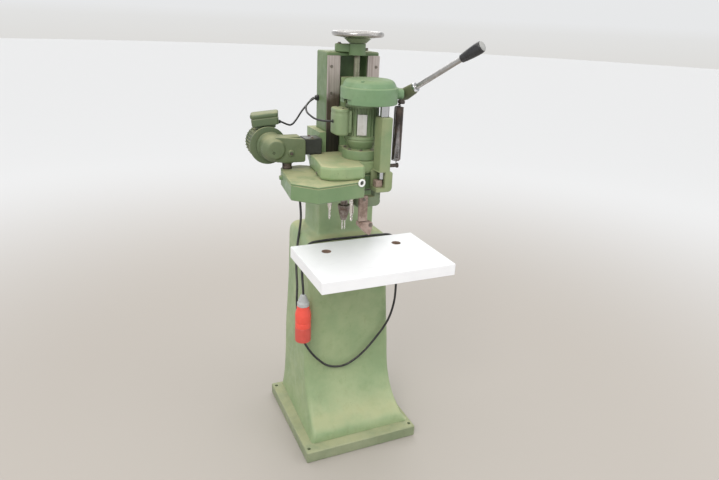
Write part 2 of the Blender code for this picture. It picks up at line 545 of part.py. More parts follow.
# ================================================================ gear motor
gearbox = cyl("gearbox", (-0.310, -0.075, GM_Z), (-0.310, 0.0050, GM_Z), 0.050, paint("gearbox_paint"), seg=40, r=0.003)
join(gearbox, plate("add_gearbox", [(-0.300, 1.1560), (-0.1903, 1.1560), (-0.1903, 1.2400), (-0.200, 1.2450), (-0.300, 1.2520)],
                    -0.0735, 0.0035, cutter=True, axis='Y'),
     cyl("add_out_boss", (*OUTPUT, 1.1530), (*OUTPUT, 1.1700), 0.024, seg=28, cutter=True))
cut(gearbox, cyl("cut_out", (*OUTPUT, 1.14), (*OUTPUT, 1.1820), 0.0086, seg=24, cutter=True))
gm_body = ribbed("gearmotor", (GM_X, GM_Z), GM_R, 0.0565, 28, 0.0053, 0.1150, paint("gearmotor_paint"), 'Y')
join(gm_body, cyl("add_gm_rim", (GM_X, 0.0053, GM_Z), (GM_X, 0.0140, GM_Z), 0.0660, seg=44, cutter=True))
gm_box = box("gearmotor_terminal_box", (-0.353, 0.0175, 1.2675), (-0.253, 0.0925, 1.315), paint("gm_box_paint"), r=0.006,
             rot_z=math.radians(-17))
gm_bracket = box("gearbox_bracket", (-0.1898, -0.050, 1.1783), (-0.1253, 0.0100, 1.2350), black("bracket_black"), r=0.003, seg=1)

# ================================================================ feed slide
foot = ([(POST_X1, POST_TOP), (POST_X0, POST_TOP), (POST_X0, FOOT_TOP), (FOOT_X0, FOOT_TOP - 0.003), (FOOT_X0, FOOT_BOT)]
        + arc(FOOT_X1 - 0.015, FOOT_BOT + 0.015, 0.015, -90, 0, 4) + [(FOOT_X1, FOOT_TOP - 0.003), (POST_X1, FOOT_TOP)])
slide = plate("feed_slide", foot, POST_Y0, POST_Y1, paint("slide_paint"), r=0.003, seg=1, axis='Y', angle=60)
cut(slide,
    cyl("cut_slide_bore", (ROD_X, ROD_Y, 1.100), (ROD_X, ROD_Y, 1.40), ROD_R + 0.0006, seg=32, cutter=True),
    box("cut_window", (-0.0100, -0.26, 1.0920), (0.0365, -0.1930, 1.1480), cutter=True))
stop_nut = box("slide_stop_block", (0.0100, -0.2255, 1.0923), (0.0345, -0.1985, 1.1165), rusty("stop_rust"), r=0.002, seg=1)
rack_pts = [(-0.1930, POST_TOP + GAP), (-0.1930, 1.4425), (-0.1870, 1.4425)]
z = 1.4400
while z > 1.350:
    rack_pts += [(-0.1845, z), (-0.1845, z - 0.0020), (-0.1870, z - 0.0034), (-0.1870, z - 0.0054)]
    z -= 0.0074
rack_pts += [(-0.1870, POST_TOP + GAP)]
rack = plate("feed_rack", rack_pts, 0.036, 0.050, steel("rack_steel"), axis='X')
stud_low = turned("spring_stud_lower", [(0, 0.0505), (0.0080, 0.0505), (0.0090, 0.0495), (0.0090, 0.0450), (0.0065, 0.0450), (0.0065, 0.0), (0, 0.0)],
                  Vector((POST_X1 + GAP, SPRING_Y, 1.159)), rusty("stud_rust_b"), seg=20, direction=(1, 0, 0))
carrier = plate("arm_carrier", [(-0.0545, 1.0255)] + arc(0.0298 - 0.0165, 1.0420, 0.0165, -90, 90, 8) + [(-0.0545, 1.0585)],
                -0.2225, -0.1900, paint("carrier_paint"), axis='Y')
join(carrier, box("add_carrier_neck", (0.0080, -0.2220, 1.0500), (0.0290, -0.1905, FOOT_BOT - GAP), cutter=True))
press_arm = plate("press_arm", [(-0.0540, 1.0680), (-0.0540, 0.9765), (-0.0225, 0.9765), (-0.0225, 1.0680)],
                  -0.2365, -0.2228, rusty("arm_rust"), r=0.002, seg=1, axis='Y', angle=60)
arm_tip = plate("arm_tip", [(-0.0555, 0.9762), (-0.0035, 0.9720), (-0.0035, 0.9550), (-0.0100, 0.9300), (-0.0155, 0.9258), (-0.0300, 0.9350),
                            (-0.0555, 0.9620)], -0.2430, -0.2130, rusty("tip_rust"), r=0.002, seg=1, axis='Y', angle=60)

# ================================================================ lever
pin_pts = []
for k in range(20):
    for da, r in ((-0.30, 0.0215), (-0.16, 0.0239), (0.16, 0.0239), (0.30, 0.0215)):
        t = 2 * math.pi * (k + da) / 20
        pin_pts.append((LEVER_Y + r * math.cos(t), LEVER_Z + r * math.sin(t)))
lever_shaft = plate("lever_shaft", pin_pts, 0.0370, 0.0500, steel("shaft_steel"), axis='X')
join(lever_shaft, cyl("add_shaft", (0.0350, LEVER_Y, LEVER_Z), (0.1420, LEVER_Y, LEVER_Z), 0.0100, seg=24, cutter=True))
axis0 = Vector((0.1320, LEVER_Y, LEVER_Z))
socket = cyl("lever_socket", axis0, axis0 + LEVER_DIR * 0.045, 0.0215,
             material("dark_paint", (0.06, 0.08, 0.04), 0.5, 0.0), r1=0.0180, seg=32)
join(socket, cyl("add_socket_hub", (0.1136, LEVER_Y, LEVER_Z), (0.1460, LEVER_Y, LEVER_Z), 0.0205, seg=32, cutter=True))
cut(socket, cyl("cut_socket", (0.10, LEVER_Y, LEVER_Z), (0.1425, LEVER_Y, LEVER_Z), 0.0103, seg=24, cutter=True),
    box("cut_socket_face", (0.06, -0.25, 1.33), (0.1136, -0.10, 1.46), cutter=True))
collar = turned("lever_collar", [(0.0093, 0.0100), (0.0150, 0.0100), (0.0165, 0.0085), (0.0165, 0.0), (0.0093, 0.0)],
                axis0 + LEVER_DIR * 0.0454, chrome("collar_chrome"), seg=28, direction=LEVER_DIR, closed=True)
rod = cyl("lever_rod", axis0 + LEVER_DIR * 0.0454, axis0 + LEVER_DIR * 0.310, 0.0090, steel("lever_rod_steel"), seg=24)
grip = turned("lever_grip", [(0, 0.0870), (0.0090, 0.0860), (0.0155, 0.0820), (0.0185, 0.0760), (0.0195, 0.0680), (0.0185, 0.0450), (0.0150, 0.0150),
                             (0.0130, 0.0020), (0.0120, 0.0), (0.0093, 0.0), (0.0093, 0.0680), (0, 0.0680)],
              axis0 + LEVER_DIR * 0.2430, black("grip_black"), seg=32, direction=LEVER_DIR)

# ================================================================ return spring
coil = [(0.0, 1.3658), (0.0040, 1.3658), (0.0040, 1.3640)]
n_turn, z_hi, z_lo = 14, 1.3640, 1.1760
for k in range(n_turn):
    za = z_hi - (z_hi - z_lo) * k / n_turn
    zb = z_hi - (z_hi - z_lo) * (k + 1) / n_turn
    coil += [(SPRING_R - 0.0020, za), (SPRING_R, za * 0.7 + zb * 0.3), (SPRING_R, za * 0.3 + zb * 0.7)]
coil += [(SPRING_R - 0.0020, z_lo), (0.0040, z_lo), (0.0040, 1.1683), (0.0, 1.1683)]
return_spring = turned("return_spring", coil, (SPRING_X, SPRING_Y, 0), rusty("spring_brown"), seg=16)

# ================================================================ leads and mains cord
gland = turned("column_gland", [(0, 0.0120), (0.0085, 0.0120), (0.0110, 0.0100), (0.0110, 0.0), (0, 0.0)],
               Vector((-0.0993, 0.070, 1.3590)), black("gland_black"), seg=20, direction=(-1, 0, 0))
lead_a = [(-0.1142, 0.0745, 1.3590), (-0.1220, 0.0738, 1.3545), (-0.1339, 0.070, 1.3434), (-0.1603, 0.064, 1.3172), (-0.1872, 0.059, 1.2824),
          (-0.2000, 0.0560, 1.2700), (-0.2108, 0.055, 1.2660), (-0.2331, 0.055, 1.2735), (-0.2410, 0.055, 1.2772), (-0.2482, 0.055, 1.2792)]
gearmotor_lead = tube("gearmotor_lead", catmull(lead_a, 20), LEAD_D, black("lead_black_a"))
lead_b = [(-0.1146, 0.0650, 1.3580), (-0.1240, 0.0575, 1.3555), (-0.1519, 0.030, 1.3462), (-0.1695, 0.0, 1.337), (-0.1760, -0.03, 1.3245),
          (-0.1717, -0.06, 1.3155), (-0.1642, -0.09, 1.3101), (-0.1499, -0.1110, 1.308), (-0.1340, -0.1270, 1.3085), (-0.1200, -0.1310, 1.309)]
spindle_lead = tube("spindle_motor_lead", catmull(lead_b, 22), LEAD_D, black("lead_black_b"))

mains_gland = turned("mains_gland", [(0, 0.0200), (0.0065, 0.0200), (0.0095, 0.0110), (0.0125, 0.0090), (0.0125, 0.0), (0, 0.0)],
                     Vector((-0.1124, 0.1350, 0.970)), black("mains_gland_black"), seg=20, direction=(-1, 0, 0))
PLUG_X, PLUG_Y = -0.2063, -0.0950
route = [(-0.1345, 0.1350, 0.9700), (-0.1415, 0.1350, 0.9692), (-0.1465, 0.1340, 0.9620), (-0.1460, 0.1280, 0.9400), (-0.1510, 0.1050, 0.8850), (-0.1742, 0.0750, 0.7900),
         (-0.1900, 0.0400, 0.7200), (-0.2010, -0.0050, 0.6500), (-0.2090, -0.0260, 0.6000), (-0.2100, -0.0430, 0.5300), (-0.2060, -0.0500, 0.4850), (-0.1960, -0.0660, 0.4430),
         (-0.1800, -0.0790, 0.4100), (-0.1600, -0.0820, 0.3790), (-0.1370, -0.0830, 0.3510), (-0.1000, -0.0850, 0.3180), (-0.0620, -0.0850, 0.3030), (-0.0200, -0.0850, 0.3020),
         (0.0200, -0.0840, 0.3180), (0.0570, -0.0830, 0.3430), (0.1150, -0.0800, 0.4000), (0.1685, -0.0780, 0.4726), (0.1920, -0.0770, 0.5500), (0.1970, -0.0740, 0.6280),
         (0.1970, -0.0640, 0.7200), (0.1930, -0.0600, 0.8000), (0.1830, -0.0580, 0.8280), (0.1620, -0.0535, 0.8420), (0.1300, -0.0500, 0.8440), (0.0800, -0.0480, 0.8450),
         (0.0, -0.0470, 0.8455), (-0.0800, -0.0460, 0.8460), (-0.1300, -0.0470, 0.8450), (-0.1620, -0.0500, 0.8430), (-0.1830, -0.0560, 0.8290),
         (-0.1970, -0.0600, 0.8000), (-0.2040, -0.0740, 0.7300), (PLUG_X, -0.0900, 0.6900), (PLUG_X, PLUG_Y, 0.6700), (PLUG_X, PLUG_Y, 0.6584)]
mains_cord = tube("mains_cord", catmull(route, 72), CORD_D, black("cord_black"), res=2)
plug_gland = turned("plug_gland", [(0, 0.6580), (0.0090, 0.6580), (0.0140, 0.6500), (0.0200, 0.6350), (0.0230, 0.6250), (0.0230, 0.6100), (0, 0.6100)],
                    (PLUG_X, PLUG_Y, 0), material("plug_grey", (0.55, 0.55, 0.55), 0.5, 0.0), seg=28)
plug_body = turned("plug_body", [(0, 0.6097), (0.0225, 0.6097), (0.0245, 0.6000), (0.0290, 0.5850), (0.0305, 0.5700), (0.0305, 0.4640), (0.0280, 0.4620),
                                 (0.0280, 0.4720), (0, 0.4720)],
                   (PLUG_X, PLUG_Y, 0), material("plug_red", (0.55, 0.03, 0.02), 0.4, 0.0), seg=32)

# ================================================================ joints' axes
pivot("lifting_screw_axis", (0, SCREW_Y, 1.50), lead_screw, wheel_rim, wheel_hub)
pivot("motor_axis", (MOTOR_X, MOTOR_Y, 1.115), motor_pulley)
pivot("centre_axis", (*CENTRE, 1.09), centre)
pivot("right_axis", (*RIGHT, 1.09), right_drill)
pivot("left_axis", (*LEFT, 1.09), left_drill)
pivot("output_axis", (*OUTPUT, 1.09), output)
pivot("lever_axis", (0.1232, LEVER_Y, LEVER_Z), lever_shaft, socket, collar, rod, grip)
pivot("feed_axis", (ROD_X, ROD_Y, 1.12), slide, stop_nut, rack, stud_low, carrier, press_arm, arm_tip)

for _o in PARTS.objects:
    if _o.type == 'MESH':
        smooth(_o, 32)
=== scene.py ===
"""Looks for the dowel joiner: detailed meshes, procedural materials, floor, lights and camera."""
import bpy
import bmesh
import math
from mathutils import Matrix, Vector


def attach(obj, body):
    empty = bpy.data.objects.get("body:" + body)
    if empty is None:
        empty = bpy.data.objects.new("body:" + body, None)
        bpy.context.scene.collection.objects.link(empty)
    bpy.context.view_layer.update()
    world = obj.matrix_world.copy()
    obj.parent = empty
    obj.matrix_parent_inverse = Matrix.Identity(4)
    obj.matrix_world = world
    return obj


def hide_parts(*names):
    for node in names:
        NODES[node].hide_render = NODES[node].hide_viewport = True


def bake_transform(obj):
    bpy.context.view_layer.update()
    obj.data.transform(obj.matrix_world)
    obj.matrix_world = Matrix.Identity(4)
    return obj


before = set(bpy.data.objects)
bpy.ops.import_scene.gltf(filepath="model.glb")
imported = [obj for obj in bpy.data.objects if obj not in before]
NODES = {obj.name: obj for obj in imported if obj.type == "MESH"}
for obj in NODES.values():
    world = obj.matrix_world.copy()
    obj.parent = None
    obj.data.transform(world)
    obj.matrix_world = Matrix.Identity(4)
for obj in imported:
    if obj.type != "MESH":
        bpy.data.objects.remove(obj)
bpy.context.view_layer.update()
OBJ = bpy.data.collections.new("looks")
bpy.context.scene.collection.children.link(OBJ)

# ------------------------------------------------------------------ camera
yaw, pitch, roll = (math.radians(a) for a in (24.5867, 20.8862, 2.5352))
F = Vector((math.sin(yaw) * math.cos(pitch), math.cos(yaw) * math.cos(pitch), -math.sin(pitch)))
_r = Vector((math.cos(yaw), -math.sin(yaw), 0))
_u = _r.cross(F)
R = math.cos(roll) * _r + math.sin(roll) * _u
U = -math.sin(roll) * _r + math.cos(roll) * _u
cam = bpy.data.objects.new("camera", bpy.data.cameras.new("camera"))
bpy.context.scene.collection.objects.link(cam)
cam.matrix_world = Matrix(((R.x, U.x, -F.x, -0.85515558), (R.y, U.y, -F.y, -1.99885103), (R.z, U.z, -F.z, 1.64929879), (0, 0, 0, 1)))
cam.data.sensor_width = 36.0
cam.data.lens = 591.6048 / 719 * 36
cam.data.clip_end = 50
bpy.context.scene.camera = cam
bpy.context.scene.view_settings.view_transform = 'Standard'


# ------------------------------------------------------------------ node helpers
class Nodes:
    """A short way to wire a material's nodes."""

    def __init__(self, name):
        self.m = bpy.data.materials.new(name)
        self.m.use_nodes = True
        self.t = self.m.node_tree
        self.b = self.t.nodes.get("Principled BSDF")
        self.o = self.add("ShaderNodeTexCoord").outputs["Object"]

    def add(self, kind):
        return self.t.nodes.new(kind)

    def link(self, a, b):
        self.t.links.new(a, b)

    def put(self, socket, v):
        if hasattr(v, "links"):
            self.link(v, socket)
        else:
            socket.default_value = v

    def mapped(self, scale=(1, 1, 1), rot=(0, 0, 0), loc=(0, 0, 0)):
        n = self.add("ShaderNodeMapping")
        n.inputs["Scale"].default_value = scale
        n.inputs["Rotation"].default_value = rot
        n.inputs["Location"].default_value = loc
        self.link(self.o, n.inputs["Vector"])
        return n.outputs["Vector"]

    def noise(self, scale, detail=4.0, rough=0.55, vec=None, distort=0.0):
        n = self.add("ShaderNodeTexNoise")
        n.inputs["Scale"].default_value = scale
        n.inputs["Detail"].default_value = detail
        n.inputs["Roughness"].default_value = rough
        n.inputs["Distortion"].default_value = distort
        self.link(vec or self.o, n.inputs["Vector"])
        return n.outputs["Fac"]

    def voronoi(self, scale, vec=None, feature='F1'):
        n = self.add("ShaderNodeTexVoronoi")
        n.feature = feature
        n.inputs["Scale"].default_value = scale
        self.link(vec or self.o, n.inputs["Vector"])
        return n.outputs["Distance"]

    def ramp(self, v, lo, hi, a=0.0, b=1.0):
        n = self.add("ShaderNodeMapRange")
        n.interpolation_type = 'SMOOTHSTEP'
        self.link(v, n.inputs["Value"])
        n.inputs["From Min"].default_value = lo
        n.inputs["From Max"].default_value = hi
        n.inputs["To Min"].default_value = a
        n.inputs["To Max"].default_value = b
        return n.outputs["Result"]

    def math(self, op, a, b=0.0, c=0.0):
        n = self.add("ShaderNodeMath")
        n.operation = op
        for i, v in enumerate((a, b, c)):
            if i < len(n.inputs):
                self.put(n.inputs[i], v)
        return n.outputs[0]

    def mix(self, fac, a, b):
        n = self.add("ShaderNodeMix")
        n.data_type = 'RGBA'
        self.put(n.inputs["Factor"], fac)
        for s, v in ((n.inputs["A"], a), (n.inputs["B"], b)):
            pass
        self.put(n.inputs[6], v_rgb(a))
        self.put(n.inputs[7], v_rgb(b))
        return n.outputs[2]

    def up(self, lo=0.2, hi=0.9):
        g = self.add("ShaderNodeNewGeometry")
        s = self.add("ShaderNodeSeparateXYZ")
        self.link(g.outputs["Normal"], s.inputs[0])
        return self.ramp(s.outputs["Z"], lo, hi)

    def xyz(self, v=None):
        s = self.add("ShaderNodeSeparateXYZ")
        self.link(v or self.o, s.inputs[0])
        return s.outputs["X"], s.outputs["Y"], s.outputs["Z"]

    def rounded(self, radius):
        n = self.add("ShaderNodeBevel")
        n.samples = 4
        n.inputs["Radius"].default_value = radius
        return n.outputs["Normal"]

    def edges(self, radius):
        """1 along sharp edges, 0 on flats."""
        g = self.add("ShaderNodeNewGeometry")
        d = self.add("ShaderNodeVectorMath")
        d.operation = 'DOT_PRODUCT'
        self.link(self.rounded(radius), d.inputs[0])
        self.link(g.outputs["Normal"], d.inputs[1])
        return self.ramp(d.outputs["Value"], 0.97, 0.80)

    def bump(self, height, strength=0.3, dist=0.001, normal=None):
        n = self.add("ShaderNodeBump")
        n.inputs["Strength"].default_value = strength
        n.inputs["Distance"].default_value = dist
        self.link(height, n.inputs["Height"])
        if normal is not None:
            self.link(normal, n.inputs["Normal"])
        self.link(n.outputs["Normal"], self.b.inputs["Normal"])
        return n.outputs["Normal"]

    def done(self, color, rough, metal=0.0, **more):
        self.put(self.b.inputs["Base Color"], v_rgb(color))
        self.put(self.b.inputs["Roughness"], rough)
        self.put(self.b.inputs["Metallic"], metal)
        for k, v in more.items():
            self.b.inputs[k].default_value = v
        return self.m


def v_rgb(c):
    return c if hasattr(c, "links") else (c[0], c[1], c[2], 1.0)


def green(name, base=(0.225, 0.335, 0.200), light=(0.320, 0.400, 0.255), grime=0.5, dust=0.5, seed=0.0, gloss=0.40, low_z=None):
    """Old sage enamel: uneven tone, brown film and drips, dust on top faces, chipped edges."""
    n = Nodes(name)
    v = n.mapped(loc=(seed, seed * 0.7, seed * 0.3))
    tone = n.ramp(n.noise(5.0, 5, 0.6, v), 0.32, 0.70)
    col = n.mix(tone, base, light)
    col = n.mix(n.ramp(n.noise(22, 6, 0.65, v), 0.50, 0.75, 0.0, 0.35), col, (base[0] * 0.72, base[1] * 0.78, base[2] * 0.62))
    drip = n.noise(1.0, 6, 0.7, n.mapped((34, 34, 5.0), loc=(seed, 0, 0)))
    film = n.math('MULTIPLY', n.ramp(drip, 0.50, 0.78), n.ramp(n.noise(9, 5, 0.6, v), 0.35, 0.62))
    col = n.mix(n.math('MULTIPLY', film, 0.55 * grime), col, (0.175, 0.145, 0.075))
    top = n.math('MULTIPLY', n.up(0.35, 0.95), n.ramp(n.noise(14, 6, 0.65, v), 0.28, 0.62, 0.25, 1.0))
    col = n.mix(n.math('MULTIPLY', top, 0.85 * dust), col, (0.455, 0.435, 0.245))
    spots = n.math('MULTIPLY', n.ramp(n.voronoi(85, v), 0.16, 0.08), n.ramp(n.noise(12, 3, 0.5, v), 0.52, 0.62))
    col = n.mix(n.math('MULTIPLY', spots, 0.7 * grime), col, (0.085, 0.065, 0.042))
    edge = n.math('MULTIPLY', n.edges(0.0022), n.ramp(n.noise(70, 5, 0.6, v), 0.42, 0.60))
    col = n.mix(n.math('MULTIPLY', edge, 0.75), col, (0.150, 0.130, 0.100))
    rough = n.math('ADD', n.math('MULTIPLY', top, 0.30), n.ramp(n.noise(30, 5, 0.6, v), 0.3, 0.7, gloss - 0.08, gloss + 0.12))
    h = n.math('ADD', n.noise(230, 3, 0.5, v), n.math('MULTIPLY', n.noise(36, 3, 0.5, v), 1.6))
    n.bump(h, 0.28, 0.0010, n.rounded(0.0012))
    return n.done(col, rough, 0.0, **{"Specular IOR Level": 0.45})


def steel(name, base=(0.36, 0.33, 0.30), brown=(0.165, 0.120, 0.085), rust=0.4, streak='Z', rough=0.36, metal=0.85, seed=0.0):
    n = Nodes(name)
    s = {'Z': (130, 130, 5), 'X': (5, 130, 130), 'Y': (130, 5, 130), 'N': (60, 60, 60)}[streak]
    g = n.noise(1.0, 4, 0.6, n.mapped(s, loc=(seed, seed, 0)))
    col = n.mix(n.ramp(g, 0.35, 0.68, 0.0, 0.55), base, (base[0] * 0.68, base[1] * 0.66, base[2] * 0.64))
    mask = n.math('MULTIPLY', n.ramp(n.noise(16, 7, 0.68, n.mapped(loc=(seed, 0, seed))), 0.42, 0.66), n.ramp(n.noise(70, 5, 0.6), 0.30, 0.62))
    col = n.mix(n.math('MULTIPLY', mask, min(1.0, rust * 1.3)), col, brown)
    rg = n.math('ADD', n.ramp(g, 0.3, 0.7, rough - 0.06, rough + 0.10), n.math('MULTIPLY', mask, 0.30))
    mt = n.math('SUBTRACT', metal, n.math('MULTIPLY', mask, 0.7 * metal * min(1.0, rust + 0.3)))
    n.bump(n.math('ADD', g, n.math('MULTIPLY', mask, 0.8)), 0.22, 0.0006, n.rounded(0.0006))
    return n.done(col, rg, mt)


def rusty(name, seed=0.0, warm=1.0, dark=False):
    n = Nodes(name)
    v = n.mapped(loc=(seed, seed, seed))
    a = n.noise(24, 8, 0.7, v)
    col = n.mix(n.ramp(a, 0.38, 0.62), (0.170 * warm, 0.120, 0.090), (0.340 * warm, 0.270, 0.225))
    if dark:
        col = n.mix(n.ramp(a, 0.40, 0.66), (0.040, 0.032, 0.028), (0.130, 0.095, 0.075))
    col = n.mix(n.ramp(n.noise(90, 6, 0.6, v), 0.55, 0.75, 0.0, 0.6), col, (0.10, 0.055, 0.035))
    shine = n.ramp(n.noise(11, 5, 0.6, v), 0.50, 0.72)
    n.bump(n.noise(140, 5, 0.6, v), 0.45, 0.0009, n.rounded(0.0008))
    return n.done(col, n.ramp(a, 0.3, 0.7, 0.66, 0.42), n.math('MULTIPLY', shine, 0.75))


def chrome(name, rough=0.10, tint=(0.70, 0.70, 0.71), dirt=0.25):
    n = Nodes(name)
    smear = n.ramp(n.noise(18, 6, 0.6), 0.35, 0.75)
    pits = n.math('MULTIPLY', n.ramp(n.voronoi(160), 0.14, 0.05), n.ramp(n.noise(14, 4, 0.6), 0.50, 0.62))
    col = n.mix(n.math('MULTIPLY', smear, dirt), tint, (tint[0] * 0.55, tint[1] * 0.52, tint[2] * 0.48))
    col = n.mix(n.math('MULTIPLY', pits, 0.8), col, (0.12, 0.08, 0.05))
    n.bump(n.noise(60, 4, 0.5), 0.05, 0.0004)
    return n.done(col, n.ramp(smear, 0, 1, rough, rough + 0.22), n.math('SUBTRACT', 1.0, n.math('MULTIPLY', pits, 0.8)))


def plastic(name, col, rough=0.4, grain=260, bump=0.15, worn=0.15, dust=0.3, dusty=(0.30, 0.28, 0.24)):
    n = Nodes(name)
    a = n.noise(26, 6, 0.6)
    c = n.mix(n.ramp(a, 0.35, 0.7, 0.0, worn * 2), col, tuple(min(1, x * 1.5 + 0.03) for x in col))
    c = n.mix(n.math('MULTIPLY', n.math('MULTIPLY', n.up(0.1, 0.9), n.ramp(n.noise(40, 5, 0.6), 0.35, 0.7)), dust), c, dusty)
    n.bump(n.noise(grain, 3, 0.5), bump, 0.0005)
    return n.done(c, n.ramp(a, 0.3, 0.7, rough - 0.05, rough + 0.15), 0.0)


# ------------------------------------------------------------------ mesh helpers
def add(name, bm, mat, body=None, angle=35, replaces=()):
    bmesh.ops.recalc_face_normals(bm, faces=bm.faces)
    me = bpy.data.meshes.new(name)
    bm.to_mesh(me)
    bm.free()
    me.shade_smooth()
    me.set_sharp_from_angle(angle=math.radians(angle))
    o = bpy.data.objects.new(name, me)
    OBJ.objects.link(o)
    for m in (mat if isinstance(mat, (list, tuple)) else [mat]):
        me.materials.append(m)
    finish_piece(o, body, replaces)
    return o


def finish_piece(o, body=None, replaces=()):
    if body:
        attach(o, body)
    if replaces:
        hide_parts(*([replaces] if isinstance(replaces, str) else replaces))


def aim(d, at=(0, 0, 0)):
    return Matrix.Translation(Vector(at)) @ Vector((0, 0, 1)).rotation_difference(Vector(d).normalized()).to_matrix().to_4x4()


def lathe(bm, profile, at=(0, 0, 0), d=(0, 0, 1), seg=64, mi=0, closed=False, wob=None):
    """Turns (radius, height) points round an axis and closes the ends at the axis."""
    M = aim(d, at)
    rings = []
    for r, z in profile:
        if r < 1e-7:
            rings.append([bm.verts.new(M @ Vector((0, 0, z)))])
        else:
            rings.append([bm.verts.new(M @ Vector(((r + (wob(2 * math.pi * k / seg, z) if wob else 0)) * math.cos(2 * math.pi * k / seg),
                                                   (r + (wob(2 * math.pi * k / seg, z) if wob else 0)) * math.sin(2 * math.pi * k / seg), z)))
                          for k in range(seg)])
    pairs = list(zip(rings, rings[1:])) + ([(rings[-1], rings[0])] if closed else [])
    for a, b in pairs:
        for k in range(seg):
            j = (k + 1) % seg
            vs = [a[k % len(a)], b[k % len(b)], b[j % len(b)], a[j % len(a)]]
            vs = list(dict.fromkeys(vs))
            if len(vs) > 2:
                f = bm.faces.new(vs)
                f.material_index = mi
    return bm


def soften(profile, r, n=4):
    """Rounds the inner corners of an open (radius, height) profile."""
    out = [profile[0]]
    for p, c, q in zip(profile, profile[1:], profile[2:]):
        p, c, q = Vector((*p, 0)), Vector((*c, 0)), Vector((*q, 0))
        a, b = (p - c), (q - c)
        k = min(r, a.length * 0.48, b.length * 0.48)
        if k < 1e-5:
            out.append((c.x, c.y))
            continue
        s, e = c + a.normalized() * k, c + b.normalized() * k
        for i in range(n + 1):
            t = i / n
            w = s * (1 - t) ** 2 + c * 2 * t * (1 - t) + e * t * t
            out.append((w.x, w.y))
    out.append(profile[-1])
    return out


def block(bm, lo, hi, r=0.0, seg=3, M=None, mi=0):
    lo, hi = Vector(lo), Vector(hi)
    c, s = (lo + hi) / 2, hi - lo
    t = bmesh.new()
    bmesh.ops.create_cube(t, size=1.0, matrix=Matrix.Translation(c) @ Matrix.Diagonal((s.x, s.y, s.z, 1)))
    if r:
        bmesh.ops.bevel(t, geom=list(t.edges), offset=r, segments=seg, profile=0.6, affect='EDGES')
    merge(bm, t, M, mi)


def merge(bm, t, M=None, mi=0):
    if M is not None:
        bmesh.ops.transform(t, matrix=M, verts=t.verts)
    for f in t.faces:
        f.material_index = mi
    me = bpy.data.meshes.new("tmp")
    t.to_mesh(me)
    t.free()
    bm.from_mesh(me)
    bpy.data.meshes.remove(me)


def prism(bm, pts, z0, z1, r=0.0, seg=3, M=None, mi=0, only_flat=True):
    """An outline of (x, y) points stood up from z0 to z1, its upper and lower edges rounded."""
    t = bmesh.new()
    a = [t.verts.new((x, y, z0)) for x, y in pts]
    b = [t.verts.new((x, y, z1)) for x, y in pts]
    t.faces.new(a[::-1])
    t.faces.new(b)
    for i in range(len(pts)):
        j = (i + 1) % len(pts)
        t.faces.new([a[i], a[j], b[j], b[i]])
    bmesh.ops.recalc_face_normals(t, faces=t.faces)
    if r:
        es = [e for e in t.edges if abs(e.verts[0].co.z - e.verts[1].co.z) < 1e-6] if only_flat else list(t.edges)
        bmesh.ops.bevel(t, geom=es, offset=r, segments=seg, profile=0.6, affect='EDGES', clamp_overlap=True)
    merge(bm, t, M, mi)


def arc(cx, cy, r, a0, a1, n):
    return [(cx + r * math.cos(math.radians(a0 + (a1 - a0) * i / n)), cy + r * math.sin(math.radians(a0 + (a1 - a0) * i / n))) for i in range(n + 1)]


def round_rect(x0, y0, x1, y1, r, n=8):
    return (arc(x1 - r, y0 + r, r, -90, 0, n) + arc(x1 - r, y1 - r, r, 0, 90, n)
            + arc(x0 + r, y1 - r, r, 90, 180, n) + arc(x0 + r, y0 + r, r, 180, 270, n))


def round_poly(pts, r, n=5):
    out = []
    for i, c in enumerate(pts):
        p, q = Vector((*pts[i - 1], 0)), Vector((*pts[(i + 1) % len(pts)], 0))
        c = Vector((*c, 0))
        k = min(r, (p - c).length * 0.45, (q - c).length * 0.45)
        s, e = c + (p - c).normalized() * k, c + (q - c).normalized() * k
        for j in range(n + 1):
            t = j / n
            w = s * (1 - t) ** 2 + c * 2 * t * (1 - t) + e * t * t
            out.append((w.x, w.y))
    return out


def catmull(points, n, k_turn=0.0):
    P = [Vector(p) for p in points]
    P = [P[0] * 2 - P[1]] + P + [P[-1] * 2 - P[-2]]
    dense = []
    for i in range(1, len(P) - 2):
        p0, p1, p2, p3 = P[i - 1], P[i], P[i + 1], P[i + 2]
        t0 = 0.0
        t1 = t0 + (p1 - p0).length ** 0.5
        t2 = t1 + (p2 - p1).length ** 0.5
        t3 = t2 + (p3 - p2).length ** 0.5
        for k in range(24):
            t = t1 + (t2 - t1) * k / 24
            a1 = p0 * ((t1 - t) / (t1 - t0)) + p1 * ((t - t0) / (t1 - t0))
            a2 = p1 * ((t2 - t) / (t2 - t1)) + p2 * ((t - t1) / (t2 - t1))
            a3 = p2 * ((t3 - t) / (t3 - t2)) + p3 * ((t - t2) / (t3 - t2))
            b1 = a1 * ((t2 - t) / (t2 - t0)) + a2 * ((t - t0) / (t2 - t0))
            b2 = a2 * ((t3 - t) / (t3 - t1)) + a3 * ((t - t1) / (t3 - t1))
            dense.append(b1 * ((t2 - t) / (t2 - t1)) + b2 * ((t - t1) / (t2 - t1)))
    dense.append(P[-2])
    s = [0.0]
    for a, b in zip(dense, dense[1:]):
        s.append(s[-1] + (b - a).length)
    out, j = [], 0
    for k in range(n):
        want = s[-1] * k / (n - 1)
        while j < len(s) - 2 and s[j + 1] < want:
            j += 1
        f = (want - s[j]) / max(s[j + 1] - s[j], 1e-9)
        out.append(dense[j].lerp(dense[j + 1], min(max(f, 0), 1)))
    return out


